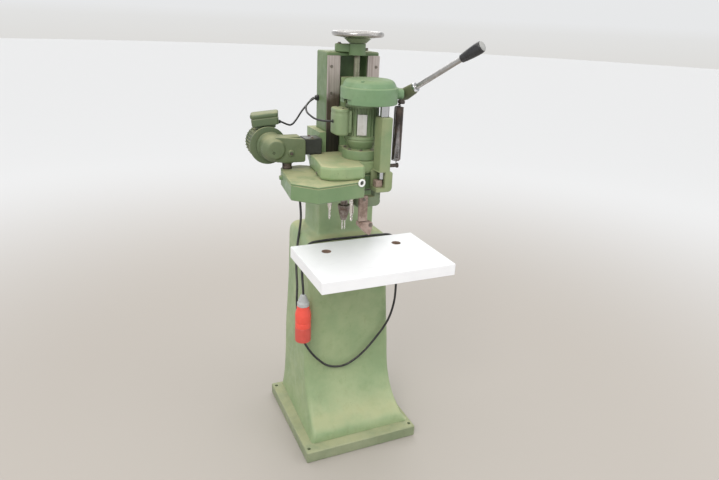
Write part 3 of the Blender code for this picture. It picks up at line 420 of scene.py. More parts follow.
def sweep(bm, pts, r, seg=14, mi=0, radii=None):
    """A round tube along points, with closed ends."""
    rings = []
    T = [(pts[min(i + 1, len(pts) - 1)] - pts[max(i - 1, 0)]).normalized() for i in range(len(pts))]
    nrm = T[0].orthogonal().normalized()
    for i, p in enumerate(pts):
        nrm = (nrm - T[i] * nrm.dot(T[i])).normalized()
        b = T[i].cross(nrm)
        rr = radii[i] if radii else r
        rings.append([bm.verts.new(p + (nrm * math.cos(2 * math.pi * k / seg) + b * math.sin(2 * math.pi * k / seg)) * rr) for k in range(seg)])
    for a, b in zip(rings, rings[1:]):
        for k in range(seg):
            f = bm.faces.new([a[k], a[(k + 1) % seg], b[(k + 1) % seg], b[k]])
            f.material_index = mi
    bm.faces.new(rings[0][::-1]).material_index = mi
    bm.faces.new(rings[-1]).material_index = mi
    return bm


def hexhead(bm, at, d, r=0.005, h=0.0035, washer=True, mi=0, spin=0.0):
    M = aim(d, at) @ Matrix.Rotation(spin, 4, 'Z')
    if washer:
        lathe(bm, [(0, 0.0012), (r * 1.45, 0.0012), (r * 1.55, 0.0007), (r * 1.55, 0.0), (0, 0.0)], at, d, 24, mi)
    prism(bm, arc(0, 0, r, 0, 300, 5), 0.0010 if washer else 0.0, h, r * 0.10, 2, M, mi)


def sockethead(bm, at, d, r=0.005, h=0.004, mi=0):
    lathe(bm, [(0, h * 0.45), (r * 0.48, h * 0.45), (r * 0.52, h), (r * 0.86, h), (r, h * 0.8), (r, 0), (0, 0)], at, d, 24, mi)


def slothead(bm, at, d, r=0.005, h=0.0022, mi=0, spin=0.4):
    M = aim(d, at) @ Matrix.Rotation(spin, 4, 'Z')
    for s in (-1, 1):
        pts = [(r * math.cos(math.radians(a)), r * math.sin(math.radians(a))) for a in range(10, 171, 16)]
        prism(bm, [(x, s * y) for x, y in (pts if s > 0 else pts[::-1])], h * 0.35, h, r * 0.07, 2, M, mi)
    lathe(bm, [(0, h * 0.45), (r, h * 0.45), (r, 0), (0, 0)], at, d, 24, mi)


def cut(o, bm_tool, name="tool", op='DIFFERENCE'):
    """A boolean with a scratch solid, applied to the mesh."""
    bmesh.ops.recalc_face_normals(bm_tool, faces=bm_tool.faces)
    me = bpy.data.meshes.new(name)
    bm_tool.to_mesh(me)
    bm_tool.free()
    t = bpy.data.objects.new(name, me)
    OBJ.objects.link(t)
    m = o.modifiers.new("cut", 'BOOLEAN')
    m.operation = op
    m.solver = 'EXACT'
    m.object = t
    bpy.context.view_layer.update()
    new = bpy.data.meshes.new_from_object(o.evaluated_get(bpy.context.evaluated_depsgraph_get()))
    o.modifiers.clear()
    o.data = new
    bpy.data.objects.remove(t, do_unlink=True)
    new.shade_smooth()
    new.set_sharp_from_angle(angle=math.radians(32))
    return o


def paint_node(node, mat):
    o = NODES[node]
    if not o.material_slots:
        o.data.materials.append(mat)
    for s in o.material_slots:
        s.material = mat


# ------------------------------------------------------------------ materials
G_PED = green("pedestal_enamel", (0.250, 0.342, 0.178), (0.349, 0.421, 0.231), grime=0.45, dust=0.75, seed=1.3, gloss=0.42)
G_BASE = green("base_enamel", (0.213, 0.260, 0.152), (0.312, 0.344, 0.216), grime=0.6, dust=0.55, seed=7.7, gloss=0.50)
# Painted shade: the column enamel is a darker green than the other castings, for the shade in its recess behind the
# motor and bell.
G_COL_SHADED = green("column_enamel_painted_shade", (0.115, 0.182, 0.081), (0.162, 0.226, 0.106), grime=0.7, dust=0.5, seed=3.1)
G_HEAD = green("head_enamel", (0.211, 0.316, 0.154), (0.309, 0.385, 0.201), grime=0.8, dust=1.0, seed=5.9)
G_BELL = green("bell_enamel", (0.153, 0.258, 0.131), (0.194, 0.290, 0.157), grime=0.35, dust=0.25, seed=2.2)
G_MOTOR = green("motor_enamel", (0.154, 0.235, 0.114), (0.225, 0.287, 0.151), grime=0.6, dust=0.7, seed=9.4)
G_GEAR = green("gear_motor_enamel", (0.090, 0.126, 0.062), (0.148, 0.180, 0.092), grime=1.0, dust=0.6, seed=4.6)
G_HOUSE = green("housing_enamel", (0.149, 0.238, 0.111), (0.199, 0.279, 0.142), grime=0.5, dust=1.0, seed=6.8)
G_SLIDE = green("slide_enamel", (0.182, 0.258, 0.129), (0.272, 0.303, 0.156), grime=0.7, dust=0.4, seed=8.5)
G_WHEEL = green("wheel_enamel", (0.135, 0.175, 0.100), (0.225, 0.265, 0.160), grime=0.6, dust=0.5, seed=0.9)
G_DARK = green("socket_enamel", (0.055, 0.070, 0.032), (0.100, 0.115, 0.055), grime=0.5, dust=0.4, seed=2.9)
G_ARM = green("carrier_enamel", (0.120, 0.160, 0.095), (0.185, 0.225, 0.135), grime=0.9, dust=0.6, seed=5.1)


def ways():
    n = Nodes("way_steel")
    x, y, z = n.xyz()
    wob = n.math('ADD', z, n.math('MULTIPLY', n.math('SUBTRACT', n.noise(30, 5, 0.6), 0.5), 0.06))
    streak = n.noise(1.0, 5, 0.65, n.mapped((160, 160, 5)))
    bare = n.mix(n.ramp(streak, 0.35, 0.70), (0.520, 0.455, 0.425), (0.330, 0.265, 0.240))
    brown = n.mix(n.ramp(streak, 0.35, 0.70), (0.150, 0.115, 0.085), (0.075, 0.056, 0.042))
    dark = n.mix(n.ramp(streak, 0.35, 0.70), (0.045, 0.040, 0.030), (0.020, 0.018, 0.014))
    # Darker towards the bottom, partly grease and partly painted shade: brown from z 1.405 down to 1.36, then
    # near-black from z 1.30 down to 1.235.
    col = n.mix(n.ramp(wob, 1.405, 1.360), bare, brown)
    col = n.mix(n.ramp(wob, 1.300, 1.235), col, dark)
    scratch = n.math('MULTIPLY', n.ramp(n.noise(1.0, 6, 0.7, n.mapped((260, 260, 18))), 0.62, 0.74), n.ramp(z, 1.30, 1.40))
    col = n.mix(n.math('MULTIPLY', scratch, 0.7), col, (0.160, 0.105, 0.080))
    n.bump(n.noise(120, 4, 0.5), 0.08, 0.0005)
    return n.done(col, n.ramp(streak, 0.3, 0.7, 0.34, 0.50), 0.45)


S_WAY = ways()
S_TOOL = steel("tool_steel", (0.340, 0.300, 0.275), (0.150, 0.095, 0.070), rust=0.85, streak='N', rough=0.40)
S_ROD = steel("rod_steel", (0.430, 0.420, 0.410), rust=0.25, streak='N', rough=0.26, metal=0.95)
S_SCREW = steel("lead_screw_steel", (0.403, 0.403, 0.305), rust=0.45, streak='N', rough=0.36, metal=0.75)
S_BOLT = steel("bolt_steel", (0.260, 0.230, 0.200), rust=0.75, streak='N', rough=0.42)
R_ARM = rusty("arm_rust", 1.1, 1.05)
R_TIP = rusty("tip_rust", 3.3, 1.08)
R_SPRING = rusty("spring_rust", 5.5, 1.0, dark=True)
R_STUD = rusty("stud_rust", 7.1, 1.0, dark=True)
R_COUP = rusty("coupling_rust", 2.4, 0.9, dark=True)
C_RIM = chrome("rim_chrome", 0.16, (0.459, 0.444, 0.429), 0.5)
C_ROD = chrome("guide_rod_chrome", 0.10, (0.518, 0.518, 0.518), 0.3)
C_BIT = chrome("drill_chrome", 0.16, (0.70, 0.67, 0.62), 0.35)
C_COL = chrome("collar_chrome", 0.14, (0.66, 0.66, 0.67), 0.3)
BRONZE = steel("nut_bronze", (0.420, 0.270, 0.110), (0.16, 0.09, 0.04), rust=0.5, streak='N', rough=0.35)
BLACK = plastic("black_cable", (0.016, 0.016, 0.017), 0.45, 300, 0.10, 0.1, 0.30)
BLK_GLAND = plastic("black_gland", (0.020, 0.020, 0.021), 0.40, 300, 0.12, 0.1, 0.4)
BLK_BELT = plastic("belt_rubber", (0.018, 0.018, 0.018), 0.65, 300, 0.2, 0.1, 0.3)
# Painted shadow: the gearbox bracket is black for the deep shade in the gap between the gearbox and the head, with dust
# on its top faces.
SHADE_BLACK = plastic("bracket_black", (0.022, 0.024, 0.020), 0.42, 180, 0.25, 0.25, 0.5, (0.22, 0.20, 0.13))
GRIP = plastic("grip_black", (0.018, 0.018, 0.019), 0.22, 160, 0.06, 0.15, 0.25)
# Painted highlight: the grip's domed end is light grey for the sky's reflection on it.
GRIP_END_HIGHLIGHT = plastic("grip_end_painted_highlight", (0.322, 0.322, 0.310), 0.35, 160, 0.06, 0.15, 0.2)
RED = plastic("plug_red", (0.820, 0.085, 0.055), 0.36, 220, 0.10, 0.10, 0.25, (0.50, 0.20, 0.14))
RED_DARK = plastic("plug_red_dark", (0.560, 0.077, 0.056), 0.42, 220, 0.10, 0.10, 0.2, (0.40, 0.16, 0.12))
GREY = plastic("plug_grey", (0.430, 0.440, 0.440), 0.42, 220, 0.12, 0.12, 0.25, (0.42, 0.40, 0.34))
WHITE = plastic("ring_white", (0.780, 0.790, 0.760), 0.35, 200, 0.06, 0.1, 0.3, (0.60, 0.56, 0.44))
PLATE = steel("blank_plate", (0.616, 0.605, 0.572), (0.32, 0.28, 0.20), rust=0.30, streak='Z', rough=0.34, metal=0.55)


def board():
    n = Nodes("white_board")
    x, y, z = n.xyz()
    smear = n.noise(7, 6, 0.6)
    col = n.mix(n.ramp(smear, 0.40, 0.72, 0.0, 0.5), (0.880, 0.880, 0.890), (0.800, 0.800, 0.812))
    scuff = n.math('MULTIPLY', n.ramp(n.noise(1.0, 6, 0.7, n.mapped((9, 90, 9))), 0.62, 0.76), 0.35)
    col = n.mix(scuff, col, (0.420, 0.405, 0.400))
    core = None
    for cx in (-0.1407, 0.1407):
        dx = n.math('SUBTRACT', x, cx)
        dy = n.math('ADD', y, 0.1557)
        d = n.math('SQRT', n.math('ADD', n.math('MULTIPLY', dx, dx), n.math('MULTIPLY', dy, dy)))
        m = n.ramp(d, 0.0180, 0.0174)
        core = m if core is None else n.math('MAXIMUM', core, m)
    top = n.ramp(z, 0.8466, 0.8458)
    fibre = n.mix(n.noise(1.0, 5, 0.6, n.mapped((200, 200, 60))), (0.330, 0.230, 0.170), (0.190, 0.120, 0.085))
    col = n.mix(n.math('MULTIPLY', core, 1.0), col, fibre)
    edge = n.math('MULTIPLY', n.edges(0.0018), n.ramp(n.noise(60, 5, 0.6), 0.50, 0.62))
    col = n.mix(n.math('MULTIPLY', edge, 0.6), col, (0.40, 0.34, 0.28))
    n.bump(n.noise(180, 3, 0.5), 0.05, 0.0005, n.rounded(0.0010))
    return n.done(col, n.ramp(smear, 0.3, 0.7, 0.30, 0.48), 0.0)


BOARD = board()


def glass_mat():
    n = Nodes("dark_glass")
    col = n.mix(n.ramp(n.noise(90, 3), 0.4, 0.7), (0.012, 0.016, 0.012), (0.045, 0.050, 0.035))
    return n.done(col, n.ramp(n.noise(60, 4), 0.3, 0.7, 0.05, 0.14), 0.0, **{"Coat Weight": 0.6})


GLASS = glass_mat()

# the slide column and top bracket take the darker painted-shade green
for nodes, m in ((("base_plate",), G_BASE), (("slide_column", "top_bracket"), G_COL_SHADED), (("way_strip_left", "way_strip_right"), S_WAY),
                 (("table_board",), BOARD), (("table_bracket",), G_PED), (("head_casting",), G_HEAD), (("drive_housing", "housing_lid"), G_HOUSE),
                 # the gearbox bracket takes the black painted shadow
                 (("gearbox_bracket",), SHADE_BLACK), (("feed_slide",), G_SLIDE), (("slide_stop_block",), R_TIP), (("feed_rack", "lever_shaft"), S_TOOL),
                 (("arm_carrier",), G_ARM), (("press_arm",), R_ARM), (("arm_tip",), R_TIP), (("lead_nut",), BRONZE),
                 (("spindle_belt", "gear_belt"), BLK_BELT), (("motor_pulley",), S_TOOL), (("guide_rod",), C_ROD),
                 (("spring_hanger", "spring_stud_upper", "spring_stud_lower"), R_STUD)):
    for k in nodes:
        paint_node(k, m)

# ------------------------------------------------------------------ pedestal, smooth
PED = [(0.0473, -0.2050, 0.248, 0.2017, 0.2280, 0.1900, 0.014), (0.060, -0.2045, 0.248, 0.1985, 0.2130, 0.1880, 0.016),
       (0.080, -0.1990, 0.247, 0.1950, 0.2020, 0.1860, 0.018), (0.105, -0.1760, 0.246, 0.1920, 0.1960, 0.1840, 0.020),
       (0.135, -0.1430, 0.245, 0.1890, 0.1915, 0.1820, 0.022), (0.170, -0.1160, 0.244, 0.1870, 0.1885, 0.1800, 0.022),
       (0.200, -0.1000, 0.243, 0.1868, 0.1875, 0.1790, 0.022), (0.250, -0.0800, 0.242, 0.1865, 0.1865, 0.1780, 0.022),
       (0.300, -0.0700, 0.241, 0.1862, 0.1862, 0.1775, 0.022), (0.350, -0.0650, 0.240, 0.1855, 0.1855, 0.1770, 0.022),
       (0.500, -0.0600, 0.239, 0.1760, 0.1760, 0.1700, 0.022), (0.640, -0.0570, 0.238, 0.1680, 0.1680, 0.1640, 0.022),
       (0.800, -0.0550, 0.236, 0.1660, 0.1660, 0.1620, 0.024), (0.820, -0.0530, 0.234, 0.1635, 0.1635, 0.1600, 0.026),
       (0.835, -0.0470, 0.228, 0.1560, 0.1560, 0.1530, 0.028), (0.8430, -0.0370, 0.218, 0.1450, 0.1450, 0.1420, 0.028),
       (0.8455, -0.0200, 0.200, 0.1290, 0.1290, 0.1270, 0.022), (0.8520, -0.0060, 0.182, 0.1170, 0.1170, 0.1160, 0.014),
       (0.8660, 0.0000, 0.172, 0.1125, 0.1125, 0.1120, 0.008), (1.0000, 0.0000, 0.170, 0.1120, 0.1120, 0.1110, 0.008)]


def monotone(rows, per):
    """More rows between the given ones, on monotone cubic curves through them."""
    n = len(rows)
    s = [0.0]
    for a, b in zip(rows, rows[1:]):
        s.append(s[-1] + math.sqrt(sum((a[i] - b[i]) ** 2 for i in (0, 1, 3))))
    out = []
    m = []
    for c in range(len(rows[0])):
        d = [(rows[i + 1][c] - rows[i][c]) / (s[i + 1] - s[i]) for i in range(n - 1)]
        t = [d[0]] + [0.0 if d[i - 1] * d[i] <= 0 else 2 * d[i - 1] * d[i] / (d[i - 1] + d[i]) for i in range(1, n - 1)] + [d[-1]]
        m.append(t)
    for i in range(n - 1):
        h = s[i + 1] - s[i]
        k = max(1, min(per, int(h / 0.012) + 1))
        for q in range(k):
            t = q / k
            out.append(tuple((2 * t ** 3 - 3 * t ** 2 + 1) * rows[i][c] + (t ** 3 - 2 * t ** 2 + t) * h * m[c][i]
                             + (-2 * t ** 3 + 3 * t ** 2) * rows[i + 1][c] + (t ** 3 - t ** 2) * h * m[c][i + 1] for c in range(len(rows[0]))))
    out.append(rows[-1])
    return out


def ring_at(z, yf, yb, xl, xr, xb, r, n=10):
    out = []
    for (cx, cy, a0, a1), (sx, sy) in zip(((-xl, yf, 180, 270), (xr, yf, 270, 360), (xb, yb, 0, 90), (-xb, yb, 90, 180)),
                                          ((1, 1), (-1, 1), (-1, -1), (1, -1))):
        out += [(x, y, z) for x, y in arc(cx + sx * r, cy + sy * r, r, a0, a1, n)]
    return out


bm = bmesh.new()
rows = monotone(PED, 14)
rings = [[bm.verts.new(p) for p in ring_at(*row)] for row in rows]
inner = [[bm.verts.new(p) for p in ring_at(row[0], row[1] + 0.014, row[2] - 0.014, row[3] - 0.014, row[4] - 0.014, row[5] - 0.014, max(row[6] - 0.007, 0.004))]
         for row in rows if row[0] < 0.82]
for a, b in list(zip(rings, rings[1:])) + [(y, x) for x, y in zip(inner, inner[1:])]:
    for i in range(len(a)):
        j = (i + 1) % len(a)
        bm.faces.new([a[i], a[j], b[j], b[i]])
for i in range(len(rings[0])):
    j = (i + 1) % len(rings[0])
    bm.faces.new([rings[0][j], rings[0][i], inner[0][i], inner[0][j]])
bm.faces.new(rings[-1])
bm.faces.new(inner[-1][::-1])
add("pedestal_casting", bm, G_PED, "stand", 40, "pedestal")

# ------------------------------------------------------------------ handwheel
WY, WZ, WR, WT = -0.042, 1.586, 0.081, 0.009
bm = bmesh.new()
lathe(bm, [(WR + WT * math.cos(math.pi / 2 - 2 * math.pi * k / 24), WT * math.sin(math.pi / 2 - 2 * math.pi * k / 24)) for k in range(24)],
      (0, WY, WZ), seg=96, closed=True)
add("handwheel_rim_chrome", bm, C_RIM, "lifting_screw", 60, "handwheel_rim")
bm = bmesh.new()
lathe(bm, soften([(0.0090, 1.5790), (0.0200, 1.5790), (0.0225, 1.5730), (0.0280, 1.5690), (0.0465, 1.5788), (0.0475, 1.5775), (0.0478, 1.5718),
                  (0.0290, 1.5560), (0.0118, 1.5560), (0.0090, 1.5562)], 0.0012, 3), (0, WY, 0), seg=96, closed=True)
web = [(0.0468, 1.5788), (0.0690, 1.5842), (0.0722, 1.5842), (0.0727, 1.5810), (0.0722, 1.5778), (0.0475, 1.5716)]
before = len(bm.faces)
lathe(bm, web, (0, WY, 0), seg=96, closed=True)
bm.faces.ensure_lookup_table()
for f in bm.faces[before:]:
    f.material_index = 1
add("handwheel_dish", bm, [G_WHEEL, C_RIM], "lifting_screw", 30, "handwheel_hub")
bm = bmesh.new()
hexhead(bm, (0, WY, 1.5792), (0, 0, 1), 0.0085, 0.0090, True)
add("handwheel_nut", bm, S_BOLT, "lifting_screw", 30, ())
# lead screw with its thread
bm = bmesh.new()
prof, z = [(0, 1.5790), (0.0084, 1.5790), (0.0084, 1.5560), (0.0108, 1.5552), (0.0108, 1.5160)], 1.5150
lathe(bm, prof + [(0.0092, 1.5150), (0.0092, 1.3360), (0, 1.3355)], (0, WY, 0), seg=40)
n_t, pitch_t = 46, 0.0038
seg_t = 36
ringsT = []
for k in range(n_t * seg_t + 1):
    a = 2 * math.pi * k / seg_t
    zc = 1.5135 - pitch_t * k / seg_t
    c, s_ = math.cos(a), math.sin(a)
    ringsT.append([bm.verts.new((r * c, WY + r * s_, zc + dz)) for r, dz in ((0.0090, 0.0015), (0.0109, 0.0008), (0.0109, -0.0006), (0.0090, -0.0013))])
for a, b in zip(ringsT, ringsT[1:]):
    for i in range(3):
        bm.faces.new([a[i], a[i + 1], b[i + 1], b[i]])
    bm.faces.new([a[3], a[0], b[0], b[3]])
bm.faces.new(ringsT[0][::-1])
bm.faces.new(ringsT[-1])
add("lead_screw_thread", bm, S_SCREW, "lifting_screw", 30, "lead_screw")

# way screws
bm = bmesh.new()
for i, (x, z) in enumerate(((-0.085, 1.477), (-0.085, 1.386), (0.085, 1.475), (0.085, 1.386))):
    slothead(bm, (x, -0.0206, z), (0, -1, 0), 0.0052, 0.0021, 0, 0.5 + i)
add("way_screw_heads", bm, S_BOLT, "stand", 30, ("way_screw_1", "way_screw_2", "way_screw_3", "way_screw_4"))
# top bracket's screws
bm = bmesh.new()
hexhead(bm, (-0.052, -0.0040, 1.5521), (0, 0, 1), 0.0055, 0.0050, True, 0, 0.4)
hexhead(bm, (0.0292, WY - 0.003, 1.536), (1, 0.05, 0), 0.0050, 0.0090, False, 0, 0.3)
add("top_bracket_bolts", bm, S_BOLT, "stand", 30, ())

# ------------------------------------------------------------------ bell casting
RY, RR = -0.155, 0.097
bm = bmesh.new()
lathe(bm, soften([(0, 1.4510), (0.0700, 1.4492), (0.0790, 1.4460), (0.0850, 1.4400), (0.0905, 1.4285), (0.0912, 1.4260), (0.0948, 1.4250),
                  (0.0970, 1.4225), (0.0970, 1.3725), (0.0955, 1.3705), (0.0850, 1.3700), (0.0850, 1.4150), (0.0590, 1.4380), (0, 1.4380)], 0.0022, 3),
      (0, RY, 0), seg=112)
bell = add("bell_cast", bm, G_BELL, None, 30)
t = bmesh.new()
lathe(t, soften([(0, 1.4310), (0.0170, 1.4310), (0.0190, 1.4290), (0.0190, 1.3704), (0, 1.3704)], 0.001, 2), (0.034, -0.212, 0), seg=48)
cut(bell, t, "boss", 'UNION')
t = bmesh.new()
prism(t, [(-0.040, -0.0199), (-0.052, -0.080), (0.052, -0.080), (0.040, -0.0199)], 1.3722, 1.4240, 0.003, 3)
cut(bell, t, "web", 'UNION')
t = bmesh.new()
prism(t, round_rect(-0.195, 1.3846, -0.130, 1.4190, 0.0135), 0.0802, 0.1129, 0.0022, 3, Matrix(((0, 0, 1, 0), (1, 0, 0, 0), (0, 1, 0, 0), (0, 0, 0, 1))))
cut(bell, t, "ear", 'UNION')
t = bmesh.new()
lathe(t, soften([(0, 1.4508), (0.0050, 1.4508), (0.0058, 1.4500), (0.0058, 1.4440), (0, 1.4440)], 0.0006, 2), (-0.050, -0.212, -0.0010), seg=28)
cut(bell, t, "oil_boss", 'UNION')
for lo, hi in (((-0.12, -0.30, 1.33), (-0.084, -0.04, 1.388)), ((0.033, -0.1938, 1.36), (0.053, -0.182, 1.4446))):
    t = bmesh.new()
    block(t, lo, hi)
    cut(bell, t)
for r, at, d, h0, h1 in ((0.0153, (0.034, -0.212, 0), (0, 0, 1), 1.30, 1.4255), (0.0105, (0, -0.160, 1.398), (1, 0, 0), 0.06, 0.14), (0.0180, (0, WY, 0), (0, 0, 1), 1.36, 1.44)):
    t = bmesh.new()
    lathe(t, [(0, h1), (r, h1), (r, h0), (0, h0)], at, d, 48)
    cut(bell, t)
finish_piece(bell, "head", "bell_casting")

# ------------------------------------------------------------------ spindle motor
MX, MY = -0.006, -0.117
bm = bmesh.new()
lathe(bm, soften([(0, 1.3660), (0.0560, 1.3660), (0.0585, 1.3640), (0.0585, 1.3540), (0.0532, 1.3530), (0.0532, 1.2580), (0.0585, 1.2570), (0.0590, 1.2470), (0.0575, 1.2454), (0, 1.2454)], 0.0008, 2),
      (MX, MY, 0), seg=96)
for k in range(30):
    a = 2 * math.pi * k / 30
    M = Matrix.Translation((MX, MY, 0)) @ Matrix.Rotation(a, 4, 'Z')
    block(bm, (0.0515, -0.0011, 1.2570), (0.0592, 0.0011, 1.3545), 0.0007, 2, M)
add("spindle_motor_finned", bm, G_MOTOR, "head", 30, "spindle_motor")
bm = bmesh.new()
lathe(bm, soften([(0, 1.2450), (0.0590, 1.2450), (0.0595, 1.2400), (0.0420, 1.2150), (0.0390, 1.2103), (0.0640, 1.2103),
                  (0.0660, 1.2085), (0.0660, 1.1783), (0.0120, 1.1783), (0.0120, 1.2340), (0, 1.2340)], 0.0016, 3), (MX, MY, 0), seg=96)
add("motor_end_bell", bm, G_MOTOR, "head", 30, "motor_flange")
bm = bmesh.new()
for k in range(8):
    a = math.radians(22.5 + 45 * k)
    hexhead(bm, (MX + 0.0545 * math.cos(a), MY + 0.0545 * math.sin(a), 1.2103), (0, 0, 1), 0.0042, 0.0040, True, 0, k)
add("flange_bolts", bm, S_BOLT, "head", 30, ())
# blank plate on the motor's front, curved to the fins
bm = bmesh.new()
pa = math.radians(248)
grid = []
for layer, rr in ((0, 0.0602), (1, 0.0596)):
    g = []
    for i in range(13):
        a = pa + (i - 6) / 6 * 0.0165 / 0.0602
        g.append([bm.verts.new((MX + rr * math.cos(a), MY + rr * math.sin(a), 1.2640 + 0.0700 * j / 8)) for j in range(9)])
    grid.append(g)
for i in range(12):
    for j in range(8):
        bm.faces.new([grid[0][i][j], grid[0][i + 1][j], grid[0][i + 1][j + 1], grid[0][i][j + 1]])
        bm.faces.new([grid[1][i][j + 1], grid[1][i + 1][j + 1], grid[1][i + 1][j], grid[1][i][j]])
for i in range(12):
    bm.faces.new([grid[1][i][0], grid[1][i + 1][0], grid[0][i + 1][0], grid[0][i][0]])
    bm.faces.new([grid[0][i][8], grid[0][i + 1][8], grid[1][i + 1][8], grid[1][i][8]])
for j in range(8):
    bm.faces.new([grid[0][0][j], grid[0][0][j + 1], grid[1][0][j + 1], grid[1][0][j]])
    bm.faces.new([grid[1][12][j], grid[1][12][j + 1], grid[0][12][j + 1], grid[0][12][j]])
for i, j in ((-1, 0), (1, 0), (-1, 1), (1, 1)):
    a = pa + i * 0.0135 / 0.0602
    u = Vector((math.cos(a), math.sin(a), 0))
    lathe(bm, [(0, 0.0010), (0.0012, 0.0008), (0.0018, 0.0), (0, 0)], Vector((MX, MY, 1.2670 + 0.0640 * j)) + u * 0.0602, u, 12)
add("motor_blank_plate", bm, PLATE, "head", 30, ())


# ------------------------------------------------------------------ terminal boxes
def terminal_box(name, pts, z0, z1, lid_at, mat, body, node, extra=None, r=0.005):
    bm = bmesh.new()
    prism(bm, pts, z0, lid_at - 0.0008, r, 4)
    prism(bm, [((x - sum(p[0] for p in pts) / len(pts)) * 0.965 + sum(p[0] for p in pts) / len(pts),
                (y - sum(p[1] for p in pts) / len(pts)) * 0.965 + sum(p[1] for p in pts) / len(pts)) for x, y in pts], lid_at - 0.003, lid_at + 0.003)
    prism(bm, pts, lid_at + 0.0004, z1, r, 4)
    if extra:
        extra(bm)
    return add(name, bm, mat, body, 30, node)


def neck(bm):
    block(bm, (-0.0720, -0.1600, 1.2720), (-0.0610, -0.0990, 1.3460), 0.002, 2)


terminal_box("spindle_terminal_case", round_rect(-0.118, -0.170, -0.068, -0.092, 0.022, 10), 1.265, 1.353, 1.3385, G_MOTOR, "head", "spindle_terminal_box", neck, 0.007)
M17 = Matrix.Translation((-0.303, 0.055, 1.2905)) @ Matrix.Rotation(math.radians(-17), 4, 'Z') @ Matrix.Rotation(math.radians(-8), 4, 'Y')
bm = bmesh.new()
prism(bm, round_rect(-0.047, -0.0365, 0.047, 0.0365, 0.009), -0.0190, 0.0060, 0.003, 3, M17)
prism(bm, round_rect(-0.034, -0.026, 0.034, 0.026, 0.006), -0.0300, -0.0150, 0.001, 2, M17)
prism(bm, round_rect(-0.0455, -0.035, 0.0455, 0.035, 0.008), 0.0045, 0.0085, 0, 2, M17)
prism(bm, round_rect(-0.049, -0.0375, 0.049, 0.0375, 0.012), 0.0072, 0.0235, 0.0110, 6, M17)
add("gearmotor_terminal_case", bm, G_GEAR, "head", 30, "gearmotor_terminal_box")
bm = bmesh.new()
for sx in (-1, 1):
    for sy in (-1, 1):
        slothead(bm, M17 @ Vector((sx * 0.0385, sy * 0.0265, 0.0200)), (0, 0, 1), 0.0032, 0.0018, 0, sx + sy * 0.4)
for y in (-0.155, -0.107):
    slothead(bm, (-0.093, y, 1.3528), (0, 0, 1), 0.0032, 0.0018, 0, y * 30)
lathe(bm, soften([(0, 0.0018), (0.0062, 0.0018), (0.0062, -0.004), (0, -0.004)], 0.0006, 2), (-0.118, -0.131, 1.309), (-1, 0, 0), 24)
lathe(bm, soften([(0, 0.0165), (0.0052, 0.0165), (0.0066, 0.0140), (0.0066, 0.0060), (0.0078, 0.0050), (0.0078, 0.0), (0, 0.0)], 0.0006, 2), (-0.2625, 0.0545, 1.2800), Vector((0.99, 0.03, -0.05)), 28)
add("box_fittings", bm, BLK_GLAND, "head", 30, ())

# ------------------------------------------------------------------ gear motor and gearbox
GX, GZ = -0.305, 1.205
YM = Matrix(((1, 0, 0, 0), (0, 0, 1, 0), (0, 1, 0, 0), (0, 0, 0, 1)))
bm = bmesh.new()
lathe(bm, soften([(0, 0.1150), (0.0440, 0.1150), (0.0545, 0.1100), (0.0580, 0.1010), (0.0580, 0.0960), (0.0550, 0.0950), (0.0550, 0.0180),
                  (0.0610, 0.0160), (0.0655, 0.0140), (0.0658, 0.0065), (0.0645, 0.0054), (0, 0.0054)], 0.0010, 2), (GX, 0, GZ), (0, 1, 0), 96)
for k in range(34):
    a = 2 * math.pi * k / 34
    M = Matrix.Translation((GX, 0, GZ)) @ Matrix.Rotation(-a, 4, 'Y')
    block(bm, (0.0535, 0.0165, -0.0010), (0.0617, 0.0965, 0.0010), 0.0007, 2, M)
add("gearmotor_finned", bm, G_GEAR, "head", 30, "gearmotor")
bm = bmesh.new()
lathe(bm, soften([(0, 0.0748), (0.0270, 0.0748), (0.0300, 0.0735), (0.0425, 0.0560), (0.0445, 0.0500), (0.0445, 0.0100), (0.0490, 0.0060), (0.0490, -0.0048), (0, -0.0048)], 0.0018, 4),
      (-0.300, 0, GZ), (0, -1, 0), 96)
gb = add("gearbox_cast", bm, G_GEAR, None, 30)
t = bmesh.new()
prism(t, round_poly([(-0.300, 1.1605), (-0.262, 1.1565), (-0.1904, 1.1562), (-0.1904, 1.2350), (-0.212, 1.2400), (-0.236, 1.2420), (-0.300, 1.2480)], 0.009), -0.0034, 0.0640, 0.0085, 5,
      Matrix(((1, 0, 0, 0), (0, 0, -1, 0), (0, 1, 0, 0), (0, 0, 0, 1))))
cut(gb, t, "worm_case", 'UNION')
t = bmesh.new()
lathe(t, soften([(0, 1.170), (0.024, 1.170), (0.024, 1.1532), (0, 1.1532)], 0.001, 2), (-0.25, -0.035, 0), seg=48)
cut(gb, t, "out_boss", 'UNION')
t = bmesh.new()
lathe(t, [(0, 1.1820), (0.0086, 1.1820), (0.0086, 1.14), (0, 1.14)], (-0.25, -0.035, 0), seg=40)
cut(gb, t)
finish_piece(gb, "head", "gearbox")
bm = bmesh.new()
lathe(bm, soften([(0, 0.0060), (0.0090, 0.0060), (0.0105, 0.0045), (0.0120, 0.0), (0, 0)], 0.0008, 3), (-0.2441, -0.0632, 1.1900), (0, -1, 0), 36)
for k in range(3):
    block(bm, (-0.2300 + 0.0130 * k, -0.0640, 1.2040), (-0.2265 + 0.0130 * k, -0.0520, 1.2330), 0.0016, 2)
block(bm, (-0.2790, -0.0040, 1.2400), (-0.2050, -0.0500, 1.2445), 0.0020, 3)
add("gearbox_pads", bm, G_GEAR, "head", 30, ())
bm = bmesh.new()
hexhead(bm, (-0.2441, -0.0688, 1.1900), (0, -1, 0), 0.0058, 0.0048, False, 0, 0.4)
sockethead(bm, (-0.3080, -0.0744, 1.1960), (0, -1, 0), 0.0052, 0.0004)
add("gearbox_bolts", bm, R_COUP, "head", 30, ())
bm = bmesh.new()
for y in (-0.038, -0.002):
    hexhead(bm, (-0.1580, y, 1.2350), (0, 0, 1), 0.0046, 0.0040, True, 0, y * 50)
add("bracket_bolts", bm, S_BOLT, "head", 30, ())
